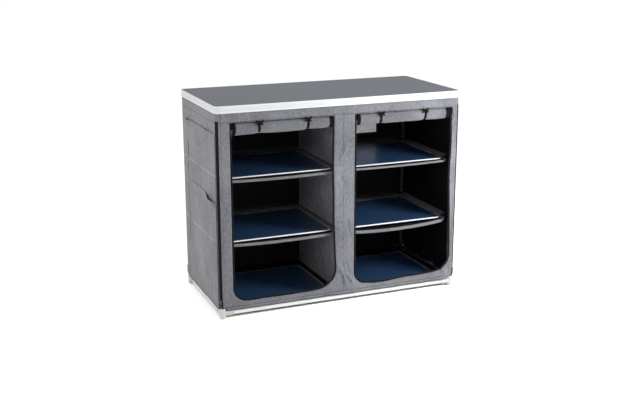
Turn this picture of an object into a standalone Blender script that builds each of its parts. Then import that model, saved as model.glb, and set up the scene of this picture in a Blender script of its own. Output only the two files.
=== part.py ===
"""Camping cupboard: a hard worktop on a plug-together tube frame, with a fabric cover, two bays of
three compartments, loose shelf boards on fabric slings, and doors rolled up under the valance.

Metres, X to the right, Y to the back, Z up. The origin is on the floor under the middle.
"""

import math

import bmesh
import bpy
from mathutils import Matrix

# Overall size
WIDTH = 1.000
DEPTH = 0.465
HEIGHT = 0.805

# Fits
GAP = 0.0003  # between pieces that touch
OVERRUN = 0.002  # of a cutter past the face it leaves

# Frame tubes
TUBE_R = 0.009
TUBE_WALL = 0.0012
TUBE_BORE_R = TUBE_R - TUBE_WALL
ROUND_SIDES = 20
SOCKET_SIDES = 16

# Bottom corner connectors
FOOT_R = 0.012
FOOT_INSET = 0.003  # of the foot inside the worktop's edge
FOOT_HEIGHT = 0.042
FOOT_ROUNDING = 0.003
FOOT_FLOOR = 0.012  # solid foot under the leg
SLEEVE_R = 0.011
SLEEVE_REACH = 0.042
COLLAR_R = 0.0116
COLLAR_LENGTH = 0.003
SOCKET_R = TUBE_R + 2 * GAP
SOCKET_WALL = 0.0027  # between the leg's socket and each rail's
RAIL_Z = 0.022
CORNER_X = WIDTH / 2 - FOOT_INSET - FOOT_R
CORNER_Y = DEPTH / 2 - FOOT_INSET - FOOT_R
RAIL_END = SOCKET_R + SOCKET_WALL + GAP  # from the leg's axis

# Snap buttons
BUTTON_SIDES = 12
BUTTON_R = 0.0025
BUTTON_HOLE_R = 0.0029
BUTTON_FROM_CORNER = 0.0325
BUTTON_PROUD = 0.0018
BUTTON_DOME = 0.0008
LEAF_LENGTH = 0.024
LEAF_WIDTH = 0.006
LEAF_THICK = 0.0006
LEAF_ROUND_SHARE = 0.9  # of its half width

# Worktop
EDGE_HEIGHT = 0.027
EDGE_WALL = 0.0025
EDGE_LIP = 0.008
EDGE_LIP_THICK = 0.0015
GROOVE_DEPTH = 0.0005
GROOVE_HEIGHT = 0.0016
GROOVE_SPACING = 0.0075
TOP_CORNER_R = 0.020
BOARD_SUNK = 0.0006  # of the board's face below the edge's rim
EDGE_BOTTOM = HEIGHT - EDGE_HEIGHT

# Top corner connectors
TOP_BODY_R = 0.0104
SPIGOT_CLEARANCE = 0.0004
SPIGOT_R = TUBE_BORE_R - SPIGOT_CLEARANCE
SPIGOT_LENGTH = 0.030
PEG_R = 0.004
PEG_HEIGHT = 0.009
PEG_HOLE_R = 0.0045
TOP_RAIL_Z = EDGE_BOTTOM - GAP - TOP_BODY_R
TOP_RAIL_END = TOP_BODY_R + GAP

# Fabric cover
CLOTH = 0.0012
COVER_R = FOOT_R  # of the cover's corners, about the leg's axis
COVER_X = CORNER_X + COVER_R
COVER_Y = CORNER_Y + COVER_R
HEM_Z = 0.0345
BAND_TOP = EDGE_BOTTOM - GAP
CORNER_CUT = 0.014  # of the panels round each foot, from the leg's axis
FOOT_CLEARANCE = 0.0006
HEM_LIFT = 0.001  # of the panels' ends over the feet
BAND_FOLD = 0.0001  # of the doubled band beyond the cloth under it, on each face
BAND_HEIGHT = 0.0274

# Door openings
CENTRE_STILE = 0.094
SIDE_STILE = 0.039  # from the leg's axis
DOOR_X0, DOOR_X1 = CENTRE_STILE / 2, CORNER_X - SIDE_STILE
DOOR_MIDDLE = (DOOR_X0 + DOOR_X1) / 2
DOOR_DROP = 0.0357  # of the door's seam below the cover's top
DOOR_BOTTOM, DOOR_TOP = 0.070, BAND_TOP - DOOR_DROP
DOOR_CORNER_R = 0.070

# Vent window and its net
WINDOW_SHIFT = 0.0035  # from the middle of the bay
WINDOW_WIDTH, WINDOW_HEIGHT = 0.220, 0.110
WINDOW_DROP = 0.062  # below the door's seam
WINDOW_X0 = DOOR_MIDDLE + WINDOW_SHIFT - WINDOW_WIDTH / 2
WINDOW_X1 = WINDOW_X0 + WINDOW_WIDTH
WINDOW_Z1 = DOOR_TOP - WINDOW_DROP
WINDOW_Z0 = WINDOW_Z1 - WINDOW_HEIGHT
NET_THICK = 0.0005
NET_HEM = 0.009  # of the binding round the net, outside the window
NET_HEM_THICK = 0.0016
NET_HEM_LAP = 0.001  # of the binding over the net's edge

# Corner zips
ZIP_BOTTOM = FOOT_HEIGHT + FOOT_CLEARANCE
ZIP_TOP = BAND_TOP - BAND_HEIGHT - GAP
COIL_WIDTH = 0.0030
COIL_PROUD = 0.0009
SLIDER_HALF_ANGLE = 21.0
SLIDER_CHANNEL_ANGLE = 3.0  # past the coil on each side
SLIDER_HEIGHT = 0.011
SLIDER_WALL = 0.0012
SLIDER_CLEARANCE = 0.0004
CORNER_SLIDER_Z = 0.072
PULL_LENGTH = 0.022
PULL_WIDTH = 0.005
PULL_THICK = 0.0008
PULL_ROUND_SHARE = 0.9  # of its half width
PULL_RIM = 0.0012
PULL_HOLE = 0.007

# Door zips
TAPE_WIDTH = 0.007
TAPE_THICK = 0.0008
TAPE_SEWN = 0.001
DOOR_COIL = 0.0020
COIL_OVERHANG = 0.0002  # past the tape's free edge
DOOR_SLIDER_DROP = 0.030  # below the door's seam
DOOR_SLIDER_Z = DOOR_TOP - DOOR_SLIDER_DROP
DOOR_SLIDER_WIDTH = 0.0084
DOOR_SLIDER_WALL = 0.0009
SLIDER_LIP = 0.0022  # over the tape, beside the coil

# Rolled doors and their ties
ROLL_R = 0.0228
ROLL_END_ROOM = 0.013  # from the side of the opening
ROLL_LENGTH = DOOR_X1 - DOOR_X0 - 2 * ROLL_END_ROOM
ROLL_PITCH = 0.0034
ROLL_CLOTH = 0.0016
ROLL_TURNS = 4.6
ROLL_TURN_POINTS = 18
ROLL_TIE_ROOM = 0.0014  # in front of the roll, behind the worktop's edge
ROLL_Y = -(DEPTH / 2 - ROLL_TIE_ROOM) + ROLL_R - ROLL_PITCH * 3 / 4
ROLL_Z = DOOR_TOP - GAP - ROLL_R
TIE_WIDTH = 0.009
TIE_THICK = 0.0008
TIE_SPACING_SHARE = 0.504  # of the roll's length
TIE_SPACING = ROLL_LENGTH * TIE_SPACING_SHARE
KNOT_RISE = 0.007  # above the door's seam
TIE_KNOT_Z = DOOR_TOP + KNOT_RISE
TIE_FIRST_ANGLE, TIE_LAST_ANGLE = 85.0, -180.0  # of the strap round the roll
KNOT_LENGTH = 0.020
KNOT_WIDTH = 0.0036
KNOT_ANGLE = 35.0
KNOT_THICK = 0.0010
KNOT_STEP = 0.0002  # of the upper bar beyond the lower
KNOT_ROUND_SHARE = 0.9

# Divider, floor, slings and boards
DIVIDER_THICK = 0.0012
BOARD_THICK = 0.006
BOARD_INNER_ROOM = 0.030  # from the divider's middle
BOARD_OUTER_ROOM = 0.035  # from the leg's axis, as the next two
BOARD_FRONT_ROOM = 0.0245
BOARD_REAR_ROOM = 0.0625
BOARD_X0, BOARD_X1 = BOARD_INNER_ROOM, CORNER_X - BOARD_OUTER_ROOM
BOARD_Y0, BOARD_Y1 = BOARD_FRONT_ROOM - CORNER_Y, CORNER_Y - BOARD_REAR_ROOM
BOARD_CORNER_R = 0.018
BOARD_CHAMFER = 0.0008
FLOOR_TOP = RAIL_Z + TUBE_R + GAP + CLOTH
FLOOR_BOARD_TOP = FLOOR_TOP + GAP + BOARD_THICK
SHELF_ROOM = DOOR_TOP - FLOOR_BOARD_TOP
UPPER_SHELF_SHARE, LOWER_SHELF_SHARE = 0.7028, 0.3572  # of that room
SHELF_TOPS = {
    "upper": FLOOR_BOARD_TOP + UPPER_SHELF_SHARE * SHELF_ROOM,
    "lower": FLOOR_BOARD_TOP + LOWER_SHELF_SHARE * SHELF_ROOM,
}
FLOOR_CLEARANCE = 0.0012  # from the sleeves' collars
SLING_RISE_OUTER = 0.007
SLING_RISE_INNER = 0.004
SLING_RISE_REAR = 0.004
SLING_SAG = 0.010
SLING_SAG_DEPTH = 0.085
SLING_HEM = 0.011
SLING_COLUMNS, SLING_ROWS = 9, 3
LOOP_R = 0.0104
LOOP_HEIGHT = 0.014

# Side pockets
POCKET_FRONT_ROOM = 0.0275  # from the leg's axis, as the next
POCKET_REAR_ROOM = 0.0595
POCKET_Y0, POCKET_Y1 = POCKET_FRONT_ROOM - CORNER_Y, CORNER_Y - POCKET_REAR_ROOM
POCKET_BOTTOM = 0.052
POCKET_DROP = 0.049  # of the upper mouth below the door's seam
POCKET_SHARE = 0.616  # of the pockets' height, for the lower
UPPER_MOUTH = DOOR_TOP - POCKET_DROP
POCKET_MOUTHS = {
    "upper": UPPER_MOUTH,
    "lower": POCKET_BOTTOM + POCKET_SHARE * (UPPER_MOUTH - POCKET_BOTTOM),
}
POCKET_CLOTH = 0.0005
POCKET_SLOT = 0.0003
POCKET_HEM = 0.006

# Ways that an outline's own x, y and thickness lie in the model
LYING = Matrix.Identity(4)
FACING_FRONT = Matrix.Rotation(math.radians(90), 4, "X")
FACING_SIDE = Matrix.Rotation(math.radians(90), 4, "Z") @ FACING_FRONT

ARC_STEPS = 5
CORNERS = {
    "front_left": (-1, -1),
    "front_right": (1, -1),
    "rear_left": (-1, 1),
    "rear_right": (1, 1),
}
SIDES = {"left": -1, "right": 1}
RUNS = {"front": -1, "rear": 1}


def clear_scene():
    for item in list(bpy.data.objects):
        bpy.data.objects.remove(item)


def new_collection(name, hidden=False):
    collection = bpy.data.collections.new(name)
    collection.hide_render = hidden
    bpy.context.scene.collection.children.link(collection)
    return collection


def material(name, colour, roughness, metallic=0.0):
    made = bpy.data.materials.new(name)
    made.use_nodes = True
    shader = made.node_tree.nodes["Principled BSDF"]
    shader.inputs["Base Color"].default_value = (*colour, 1.0)
    shader.inputs["Roughness"].default_value = roughness
    shader.inputs["Metallic"].default_value = metallic
    made.diffuse_color = (*colour, 1.0)
    return made


clear_scene()
PARTS = new_collection("camping_cupboard")
CUTTERS = new_collection("cutters", hidden=True)

ALUMINIUM = material("aluminium", (0.82, 0.84, 0.85), 0.35, 0.9)
WHITE_PLASTIC = material("connector_plastic", (0.80, 0.81, 0.80), 0.45)
WORKTOP = material("worktop_laminate", (0.16, 0.19, 0.23), 0.25)
NAVY = material("shelf_laminate", (0.004, 0.010, 0.026), 0.25)
GREY_CLOTH = material("cover_cloth", (0.27, 0.28, 0.30), 0.9)
DARK_CLOTH = material("inner_cloth", (0.045, 0.042, 0.048), 0.9)
SLING_CLOTH = material("sling_cloth", (0.16, 0.16, 0.17), 0.9)
BLACK_TAPE = material("zip_tape", (0.008, 0.008, 0.009), 0.7)
BLACK_METAL = material("slider_metal", (0.012, 0.012, 0.013), 0.4, 0.6)
NET_CLOTH = material("vent_net", (0.33, 0.33, 0.30), 0.8)
STEEL = material("button_steel", (0.62, 0.63, 0.64), 0.35, 1.0)


def place(data, name, look, spot=LYING, collection=PARTS):
    """An object of this mesh or curve, with its one material."""
    made = bpy.data.objects.new(name, data)
    collection.objects.link(made)
    made.matrix_world = spot
    data.materials.append(look)
    if collection is CUTTERS:
        made.hide_render = True
        made.display_type = "WIRE"
    return made


def at(x=0.0, y=0.0, z=0.0):
    return Matrix.Translation((x, y, z))


def arc(x, y, radius, first, last, steps=ARC_STEPS):
    """Points on an arc, between two angles in degrees."""
    points = []
    for step in range(steps + 1):
        angle = math.radians(first + (last - first) * step / steps)
        points.append((x + radius * math.cos(angle), y + radius * math.sin(angle)))
    return points


def rounded_rectangle(x0, x1, y0, y1, radius, steps=ARC_STEPS):
    """A closed outline, anticlockwise from the bottom right corner."""
    points = arc(x1 - radius, y0 + radius, radius, -90, 0, steps)
    points += arc(x1 - radius, y1 - radius, radius, 0, 90, steps)
    points += arc(x0 + radius, y1 - radius, radius, 90, 180, steps)
    return points + arc(x0 + radius, y0 + radius, radius, 180, 270, steps)


def outline(name, loops, thickness):
    """A flat curve filled between closed loops of points, as thick as asked about its middle."""
    curve = bpy.data.curves.new(name, "CURVE")
    curve.dimensions = "2D"
    curve.fill_mode = "BOTH"
    curve.extrude = thickness / 2
    for loop in loops:
        spline = curve.splines.new("POLY")
        spline.points.add(len(loop) - 1)
        for point, (x, y) in zip(spline.points, loop):
            point.co = (x, y, 0, 1)
        spline.use_cyclic_u = True
    return curve


def solid_outline(name, loops, thickness, look, spot=LYING, collection=PARTS):
    """The same shape as a welded mesh, which Booleans and Bevel can take."""
    drawn = place(outline(name, loops, thickness), name + "_curve", look, collection=collection)
    graph = bpy.context.evaluated_depsgraph_get()
    mesh = bpy.data.meshes.new_from_object(drawn.evaluated_get(graph))
    bpy.data.objects.remove(drawn)
    shape = bmesh.new()
    shape.from_mesh(mesh)
    bmesh.ops.remove_doubles(shape, verts=shape.verts, dist=GAP / 10)
    bmesh.ops.recalc_face_normals(shape, faces=shape.faces)
    shape.to_mesh(mesh)
    shape.free()
    mesh.materials.clear()
    return place(mesh, name, look, spot, collection)


def boolean(target, other, operation):
    modifier = target.modifiers.new(operation.lower(), "BOOLEAN")
    modifier.object = other
    modifier.operation = operation
    modifier.solver = "EXACT"
    modifier.material_mode = "TRANSFER"
    other.hide_render = True
    other.display_type = "WIRE"


def cut(target, cutter):
    boolean(target, cutter, "DIFFERENCE")


def join(target, other):
    boolean(target, other, "UNION")


def turned(name, profile, look, spot=LYING, collection=PARTS, sides=ROUND_SIDES):
    """A profile of (radius, height) points, from the axis round to the axis or closed on itself."""
    mesh = bpy.data.meshes.new(name)
    shape = bmesh.new()
    verts = [shape.verts.new((radius, 0, height)) for radius, height in profile]
    for first, second in zip(verts, verts[1:]):
        shape.edges.new((first, second))
    if profile[0][0] > 0:
        shape.edges.new((verts[-1], verts[0]))
    shape.to_mesh(mesh)
    shape.free()
    made = place(mesh, name, look, spot, collection)
    screw = made.modifiers.new("turn", "SCREW")
    screw.steps = screw.render_steps = sides
    screw.use_merge_vertices = True
    screw.merge_threshold = GAP / 10
    screw.use_smooth_shade = True
    return made


def cylinder(name, radius, bottom, top, spot=LYING, sides=SOCKET_SIDES):
    """A plain round cutter along its own Z."""
    profile = [(0, top), (radius, top), (radius, bottom), (0, bottom)]
    return turned(name, profile, WHITE_PLASTIC, spot, CUTTERS, sides)


def tube(name, length, spot):
    """A frame tube along its own Z, from zero to its length."""
    profile = [(TUBE_R, length), (TUBE_R, 0), (TUBE_BORE_R, 0), (TUBE_BORE_R, length)]
    return turned(name, profile, ALUMINIUM, spot)


def along_x(sign=1):
    return Matrix.Rotation(math.radians(90 * sign), 4, "Y")


def along_y(sign=1):
    return Matrix.Rotation(math.radians(-90 * sign), 4, "X")


def connector_ways(sx, sy):
    """Turns for the two arms of a corner; the facets of the second lie between the first's."""
    half_facet = Matrix.Rotation(math.pi / SOCKET_SIDES, 4, "Z")
    return {"x": along_x(-sx), "y": along_y(-sy) @ half_facet}


# Frame


def bottom_connector(place_name, sx, sy):
    """A moulded corner: foot and leg socket in one barrel, and a collared sleeve for each rail."""
    name = "bottom_connector_" + place_name
    centre = at(sx * CORNER_X, sy * CORNER_Y)
    rounding = arc(FOOT_R - FOOT_ROUNDING, FOOT_ROUNDING, FOOT_ROUNDING, 0, -90, 3)
    barrel = [(0, FOOT_HEIGHT), (FOOT_R, FOOT_HEIGHT), *rounding, (0, 0)]
    body = turned(name, barrel, WHITE_PLASTIC, centre, sides=SOCKET_SIDES)
    sleeve = [
        (0, SLEEVE_REACH),
        (COLLAR_R, SLEEVE_REACH),
        (COLLAR_R, SLEEVE_REACH - COLLAR_LENGTH),
        (SLEEVE_R, SLEEVE_REACH - COLLAR_LENGTH),
        (SLEEVE_R, FOOT_R / 2),
        (0, FOOT_R / 2),
    ]
    rail_axis = centre @ at(z=RAIL_Z)
    ways = {way: rail_axis @ turn for way, turn in connector_ways(sx, sy).items()}
    for way, spot in ways.items():
        title = f"{name}_sleeve_{way}"
        join(body, turned(title, sleeve, WHITE_PLASTIC, spot, CUTTERS, SOCKET_SIDES))
    leg_top = FOOT_HEIGHT + OVERRUN
    cut(body, cylinder(name + "_leg_socket", SOCKET_R, FOOT_FLOOR, leg_top, centre))
    first, last = SOCKET_R + SOCKET_WALL, SLEEVE_REACH + OVERRUN
    for way, spot in ways.items():
        cut(body, cylinder(f"{name}_socket_{way}", SOCKET_R, first, last, spot))
    hole_spot = at(sx * (CORNER_X - BUTTON_FROM_CORNER), sy * CORNER_Y, RAIL_Z)
    low = -COLLAR_R - OVERRUN
    cut(body, cylinder(name + "_button_hole", BUTTON_HOLE_R, low, 0, hole_spot, BUTTON_SIDES))


def top_connector(place_name, sx, sy):
    """A plug-in corner: a short body, a spigot in each tube, and the peg that holds the worktop."""
    name = "top_connector_" + place_name
    centre = at(sx * CORNER_X, sy * CORNER_Y, TOP_RAIL_Z)
    profile = [
        (0, TOP_BODY_R + PEG_HEIGHT),
        (PEG_R, TOP_BODY_R + PEG_HEIGHT),
        (PEG_R, TOP_BODY_R),
        (TOP_BODY_R, TOP_BODY_R),
        (TOP_BODY_R, -TOP_BODY_R),
        (SPIGOT_R, -TOP_BODY_R),
        (SPIGOT_R, -TOP_BODY_R - SPIGOT_LENGTH),
        (0, -TOP_BODY_R - SPIGOT_LENGTH),
    ]
    body = turned(name, profile, WHITE_PLASTIC, centre, sides=SOCKET_SIDES)
    arm = [
        (0, TOP_BODY_R + SPIGOT_LENGTH),
        (SPIGOT_R, TOP_BODY_R + SPIGOT_LENGTH),
        (SPIGOT_R, TOP_BODY_R),
        (TUBE_R, TOP_BODY_R),
        (TUBE_R, TOP_BODY_R / 2),
        (0, TOP_BODY_R / 2),
    ]
    for way, turn in connector_ways(sx, sy).items():
        title = f"{name}_arm_{way}"
        join(body, turned(title, arm, WHITE_PLASTIC, centre @ turn, CUTTERS, SOCKET_SIDES))


def legs():
    foot, top = FOOT_FLOOR + GAP, TOP_RAIL_Z - TOP_BODY_R - GAP
    for name, (sx, sy) in CORNERS.items():
        tube("leg_" + name, top - foot, at(sx * CORNER_X, sy * CORNER_Y, foot))


def rails(level, height, end):
    """The four rails of one level; each stops short of the leg's axis by the same length."""
    for name, sy in RUNS.items():
        start = at(-CORNER_X + end, sy * CORNER_Y, height)
        rail = tube(f"{level}_rail_{name}", 2 * (CORNER_X - end), start @ along_x())
        if level == "bottom":
            button_holes(rail, sy)
    for name, sx in SIDES.items():
        start = at(sx * CORNER_X, -CORNER_Y + end, height)
        tube(f"{level}_rail_{name}", 2 * (CORNER_Y - end), start @ along_y())


def button_holes(rail, sy):
    for sx in SIDES.values():
        spot = at(sx * (CORNER_X - BUTTON_FROM_CORNER), sy * CORNER_Y, RAIL_Z)
        name = f"{rail.name}_hole_{'left' if sx < 0 else 'right'}"
        cut(rail, cylinder(name, BUTTON_HOLE_R, -TUBE_R - OVERRUN, 0, spot, BUTTON_SIDES))


def snap_button(place_name, sx, sy):
    """A domed button on the leaf that lies in the rail; it points down through rail and sleeve."""
    name = "snap_button_" + place_name
    leaf_floor = -math.sqrt(TUBE_BORE_R**2 - (LEAF_WIDTH / 2) ** 2) + 2 * GAP
    tip = -SLEEVE_R - BUTTON_PROUD
    dome_r = BUTTON_R - BUTTON_DOME
    profile = [
        (0, leaf_floor + LEAF_THICK / 2),
        (BUTTON_R, leaf_floor + LEAF_THICK / 2),
        (BUTTON_R, tip + BUTTON_DOME),
        (dome_r, tip),
        (0, tip),
    ]
    spot = at(sx * (CORNER_X - BUTTON_FROM_CORNER), sy * CORNER_Y, RAIL_Z)
    body = turned(name, profile, STEEL, spot, sides=BUTTON_SIDES)
    half_length, half_width = LEAF_LENGTH / 2, LEAF_WIDTH / 2
    shape = rounded_rectangle(
        -half_length, half_length, -half_width, half_width, half_width * LEAF_ROUND_SHARE, 3
    )
    leaf_spot = spot @ at(z=leaf_floor + LEAF_THICK / 2)
    join(body, solid_outline(name + "_leaf", [shape], LEAF_THICK, STEEL, leaf_spot, CUTTERS))


# Worktop


def worktop_outline(inset, steps=ARC_STEPS):
    x, y = WIDTH / 2 - inset, DEPTH / 2 - inset
    return rounded_rectangle(-x, x, -y, y, TOP_CORNER_R - inset, steps)


def worktop_edge():
    """The edge profile swept round the board: a grooved wall with a lip under the board."""
    wall, lip = EDGE_WALL / 2, EDGE_LIP - EDGE_WALL / 2
    top, bottom = EDGE_HEIGHT / 2, -EDGE_HEIGHT / 2
    section = [(wall, bottom)]
    for middle in (-GROOVE_SPACING / 2, GROOVE_SPACING / 2):
        low, high = middle - GROOVE_HEIGHT / 2, middle + GROOVE_HEIGHT / 2
        section += [(wall, low), (wall - GROOVE_DEPTH, low + GROOVE_DEPTH)]
        section += [(wall - GROOVE_DEPTH, high - GROOVE_DEPTH), (wall, high)]
    section += [(wall, top), (-wall, top), (-wall, bottom + EDGE_LIP_THICK)]
    section += [(-lip, bottom + EDGE_LIP_THICK), (-lip, bottom)]
    drawn = outline("worktop_edge_profile", [section[::-1]], 0)
    drawn.fill_mode = "NONE"
    profile = place(drawn, drawn.name, ALUMINIUM, collection=CUTTERS)
    path = outline("worktop_edge", [worktop_outline(EDGE_WALL / 2)], 0)
    path.dimensions = "3D"
    path.fill_mode = "FULL"
    path.bevel_mode = "OBJECT"
    path.bevel_object = profile
    place(path, "worktop_edge", ALUMINIUM, at(z=EDGE_BOTTOM + EDGE_HEIGHT / 2))


def worktop_board():
    low = EDGE_BOTTOM + EDGE_LIP_THICK + GAP
    thick = HEIGHT - BOARD_SUNK - low
    shape = worktop_outline(EDGE_WALL + GAP)
    board = solid_outline("worktop_board", [shape], thick, WORKTOP, at(z=low + thick / 2))
    peg_top = EDGE_BOTTOM + PEG_HEIGHT + GAP
    for name, (sx, sy) in CORNERS.items():
        spot = at(sx * CORNER_X, sy * CORNER_Y)
        cut(board, cylinder("peg_hole_" + name, PEG_HOLE_R, low - OVERRUN, peg_top, spot))


# Fabric cover


def door_opening(inset=0.0, top=DOOR_TOP):
    """The right-hand door opening, a U square at the top; inset shrinks all but the top."""
    x0, x1 = DOOR_X0 + inset, DOOR_X1 - inset
    low, radius = DOOR_BOTTOM + inset, DOOR_CORNER_R - inset
    points = [(x1, top)]
    points += arc(x1 - radius, low + radius, radius, 0, -90)
    points += arc(x0 + radius, low + radius, radius, -90, -180)
    return points + [(x0, top)]


def panel_side(half_width, top):
    """The right-hand side of a cover panel's outline, cut away round the foot."""
    notch = half_width + GAP - CORNER_CUT
    cut_z = FOOT_HEIGHT + FOOT_CLEARANCE
    return [(notch, HEM_Z), (notch, cut_z), (half_width, cut_z + HEM_LIFT), (half_width, top)]


def panel_outline(half_width, top):
    right = panel_side(half_width, top)
    return right + [(-x, z) for x, z in reversed(right)]


def front_panel():
    """The front of the cover, with zip tape sewn round both door openings: a half and its mirror."""
    half = [(-OVERRUN, HEM_Z), *panel_side(CORNER_X - GAP, BAND_TOP), (-OVERRUN, BAND_TOP)]
    spot = at(y=-COVER_Y + CLOTH / 2) @ FACING_FRONT
    panel = solid_outline("front_panel", [half, door_opening()], CLOTH, GREY_CLOTH, spot)
    tape = [tape_loop(-TAPE_SEWN, TAPE_WIDTH, DOOR_TOP + TAPE_SEWN)]
    join(panel, solid_outline("door_tape", tape, TAPE_THICK, BLACK_TAPE, spot, CUTTERS))
    inner = TAPE_WIDTH + COIL_OVERHANG
    coil = [tape_loop(inner - DOOR_COIL, inner, DOOR_TOP - TAPE_SEWN)]
    join(panel, solid_outline("door_coil", coil, DOOR_COIL, BLACK_TAPE, spot, CUTTERS))
    mirror = panel.modifiers.new("other_half", "MIRROR")
    mirror.use_bisect_axis[0] = True
    mirror.merge_threshold = GAP / 10


def tape_loop(outer, inner, top):
    """A U-shaped band between two insets from the edge of the door opening."""
    return door_opening(outer, top) + door_opening(inner, top)[::-1]


def window_outline(outset=0.0):
    x0, x1 = WINDOW_X0 - outset, WINDOW_X1 + outset
    z0, z1 = WINDOW_Z0 - outset, WINDOW_Z1 + outset
    return [(x0, z0), (x1, z0), (x1, z1), (x0, z1)]


def rear_panel():
    loops = [panel_outline(CORNER_X - GAP, BAND_TOP), window_outline()]
    curve = outline("rear_panel", loops, CLOTH)
    place(curve, "rear_panel", GREY_CLOTH, at(y=COVER_Y - CLOTH / 2) @ FACING_FRONT)


def vent_net():
    """Fine netting behind the rear panel's window, bound round its edge; its holes are too fine to
    model, so it is a thin sheet."""
    y = COVER_Y - CLOTH - GAP - NET_HEM_THICK / 2
    spot = at(y=y) @ FACING_FRONT
    sheet = [window_outline(NET_HEM_LAP)]
    net = solid_outline("vent_net", sheet, NET_THICK, NET_CLOTH, spot)
    binding = [window_outline(NET_HEM), window_outline()]
    join(net, solid_outline("vent_net_hem", binding, NET_HEM_THICK, NET_CLOTH, spot, CUTTERS))


def side_panel(name, sx):
    """A side of the cover; above the corner zips its top band turns both corners."""
    shape = panel_outline(CORNER_Y - GAP, BAND_TOP - GAP)
    spot = at(x=sx * (COVER_X - CLOTH / 2)) @ FACING_SIDE
    panel = solid_outline(f"{name}_panel", [shape], CLOTH, GREY_CLOTH, spot)
    outer_r, inner_r = COVER_R + BAND_FOLD, COVER_R - CLOTH - BAND_FOLD
    outside = corner_arc(-1, outer_r, -90, 0) + corner_arc(1, outer_r, 0, 90)
    inside = corner_arc(-1, inner_r, -90, 0) + corner_arc(1, inner_r, 0, 90)
    band = [(sx * x, y) for x, y in outside + inside[::-1]]
    low = ZIP_TOP + GAP
    spot = at(z=(low + BAND_TOP) / 2)
    join(panel, solid_outline(f"{name}_band", [band], BAND_TOP - low, GREY_CLOTH, spot, CUTTERS))


def corner_arc(sy, radius, first, last):
    """Plan points round the right-hand leg at the front (-1) or the rear (1)."""
    return arc(CORNER_X, sy * CORNER_Y, radius, first, last)


# Zips


def corner_spot(sx, sy, z=0.0):
    """Origin on a leg's axis, with X pointing out along the corner's diagonal."""
    return at(sx * CORNER_X, sy * CORNER_Y, z) @ Matrix.Rotation(math.atan2(sy, sx), 4, "Z")


def coil_half_angle():
    return math.degrees(math.asin(COIL_WIDTH / 2 / COVER_R))


def corner_zip(place_name, sx, sy):
    """Zip tape round a corner of the cover, with its coil along the middle."""
    coil = coil_half_angle()
    section = arc(0, 0, COVER_R, -45, -coil) + arc(0, 0, COVER_R + COIL_PROUD, -coil, coil, 2)
    section += arc(0, 0, COVER_R, coil, 45) + arc(0, 0, COVER_R - CLOTH, 45, -45, 2 * ARC_STEPS)
    spot = corner_spot(sx, sy, (ZIP_BOTTOM + ZIP_TOP) / 2)
    name = "corner_zip_" + place_name
    place(outline(name, [section], ZIP_TOP - ZIP_BOTTOM), name, BLACK_TAPE, spot)


def corner_slider(place_name, sx, sy):
    """A slider's shell over the coil of a corner zip, with its pull hanging from it."""
    name = "corner_zip_slider_" + place_name
    rim = COVER_R + SLIDER_CLEARANCE
    roof = rim + COIL_PROUD
    half = SLIDER_HALF_ANGLE
    channel = coil_half_angle() + SLIDER_CHANNEL_ANGLE
    section = arc(0, 0, roof + SLIDER_WALL, -half, half) + arc(0, 0, rim, half, channel, 2)
    section += arc(0, 0, roof, channel, -channel, 3) + arc(0, 0, rim, -channel, -half, 2)
    spot = corner_spot(sx, sy, CORNER_SLIDER_Z)
    body = solid_outline(name, [section], SLIDER_HEIGHT, BLACK_METAL, spot)
    join(body, pull(name + "_pull", spot @ at(x=roof + SLIDER_WALL)))


def pull(name, spot):
    """A zip pull hanging from the middle of its slider; thickness along the spot's X."""
    half, top = PULL_WIDTH / 2, SLIDER_HEIGHT / 4
    shape = rounded_rectangle(-half, half, -PULL_LENGTH, top, half * PULL_ROUND_SHARE, 3)
    half -= PULL_RIM
    low = PULL_RIM - PULL_LENGTH
    hole = rounded_rectangle(-half, half, low, low + PULL_HOLE, half * PULL_ROUND_SHARE, 2)
    return solid_outline(name, [shape, hole], PULL_THICK, BLACK_METAL, spot @ FACING_SIDE, CUTTERS)


def door_slider(name, side):
    """A slider wrapped round the door coil at the left of its opening."""
    edge = min(side * DOOR_X0, side * DOOR_X1)
    coil_start = TAPE_WIDTH - DOOR_COIL - SLIDER_CLEARANCE
    first = coil_start - SLIDER_LIP
    last = first + DOOR_SLIDER_WIDTH
    channel = last - SLIDER_WALL
    slot, coil = TAPE_THICK / 2 + SLIDER_CLEARANCE, DOOR_COIL / 2 + SLIDER_CLEARANCE
    outer = coil + DOOR_SLIDER_WALL
    half = [(first, slot), (first, outer), (last, outer)]
    hollow = [(channel, coil), (coil_start, coil), (coil_start, slot)]
    section = half + [(x, -y) for x, y in reversed(half)]
    section += [(x, -y) for x, y in reversed(hollow)] + hollow
    spot = at(edge, -COVER_Y + CLOTH / 2, DOOR_SLIDER_Z)
    title = "door_zip_slider_" + name
    body = solid_outline(title, [section], SLIDER_HEIGHT, BLACK_METAL, spot)
    front = spot @ at((first + last) / 2, -outer - PULL_THICK / 4)
    join(body, pull(title + "_pull", front @ Matrix.Rotation(math.radians(-90), 4, "Z")))


# Doors


def roll_radius(angle):
    """Radius of the rolled door's outside; it shrinks clockwise from the top, seen from +X."""
    return ROLL_R - ROLL_PITCH * (90 - angle) / 360


def roll_points(first, last, offset):
    """Points on the spiral, offset out from the door's outside, as (y, z)."""
    steps = math.ceil(abs(last - first) / 360 * ROLL_TURN_POINTS)
    points = []
    for step in range(steps + 1):
        angle = first + (last - first) * step / steps
        radius = roll_radius(angle) + offset
        turn = math.radians(angle)
        points.append((ROLL_Y + radius * math.cos(turn), ROLL_Z + radius * math.sin(turn)))
    return points


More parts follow.
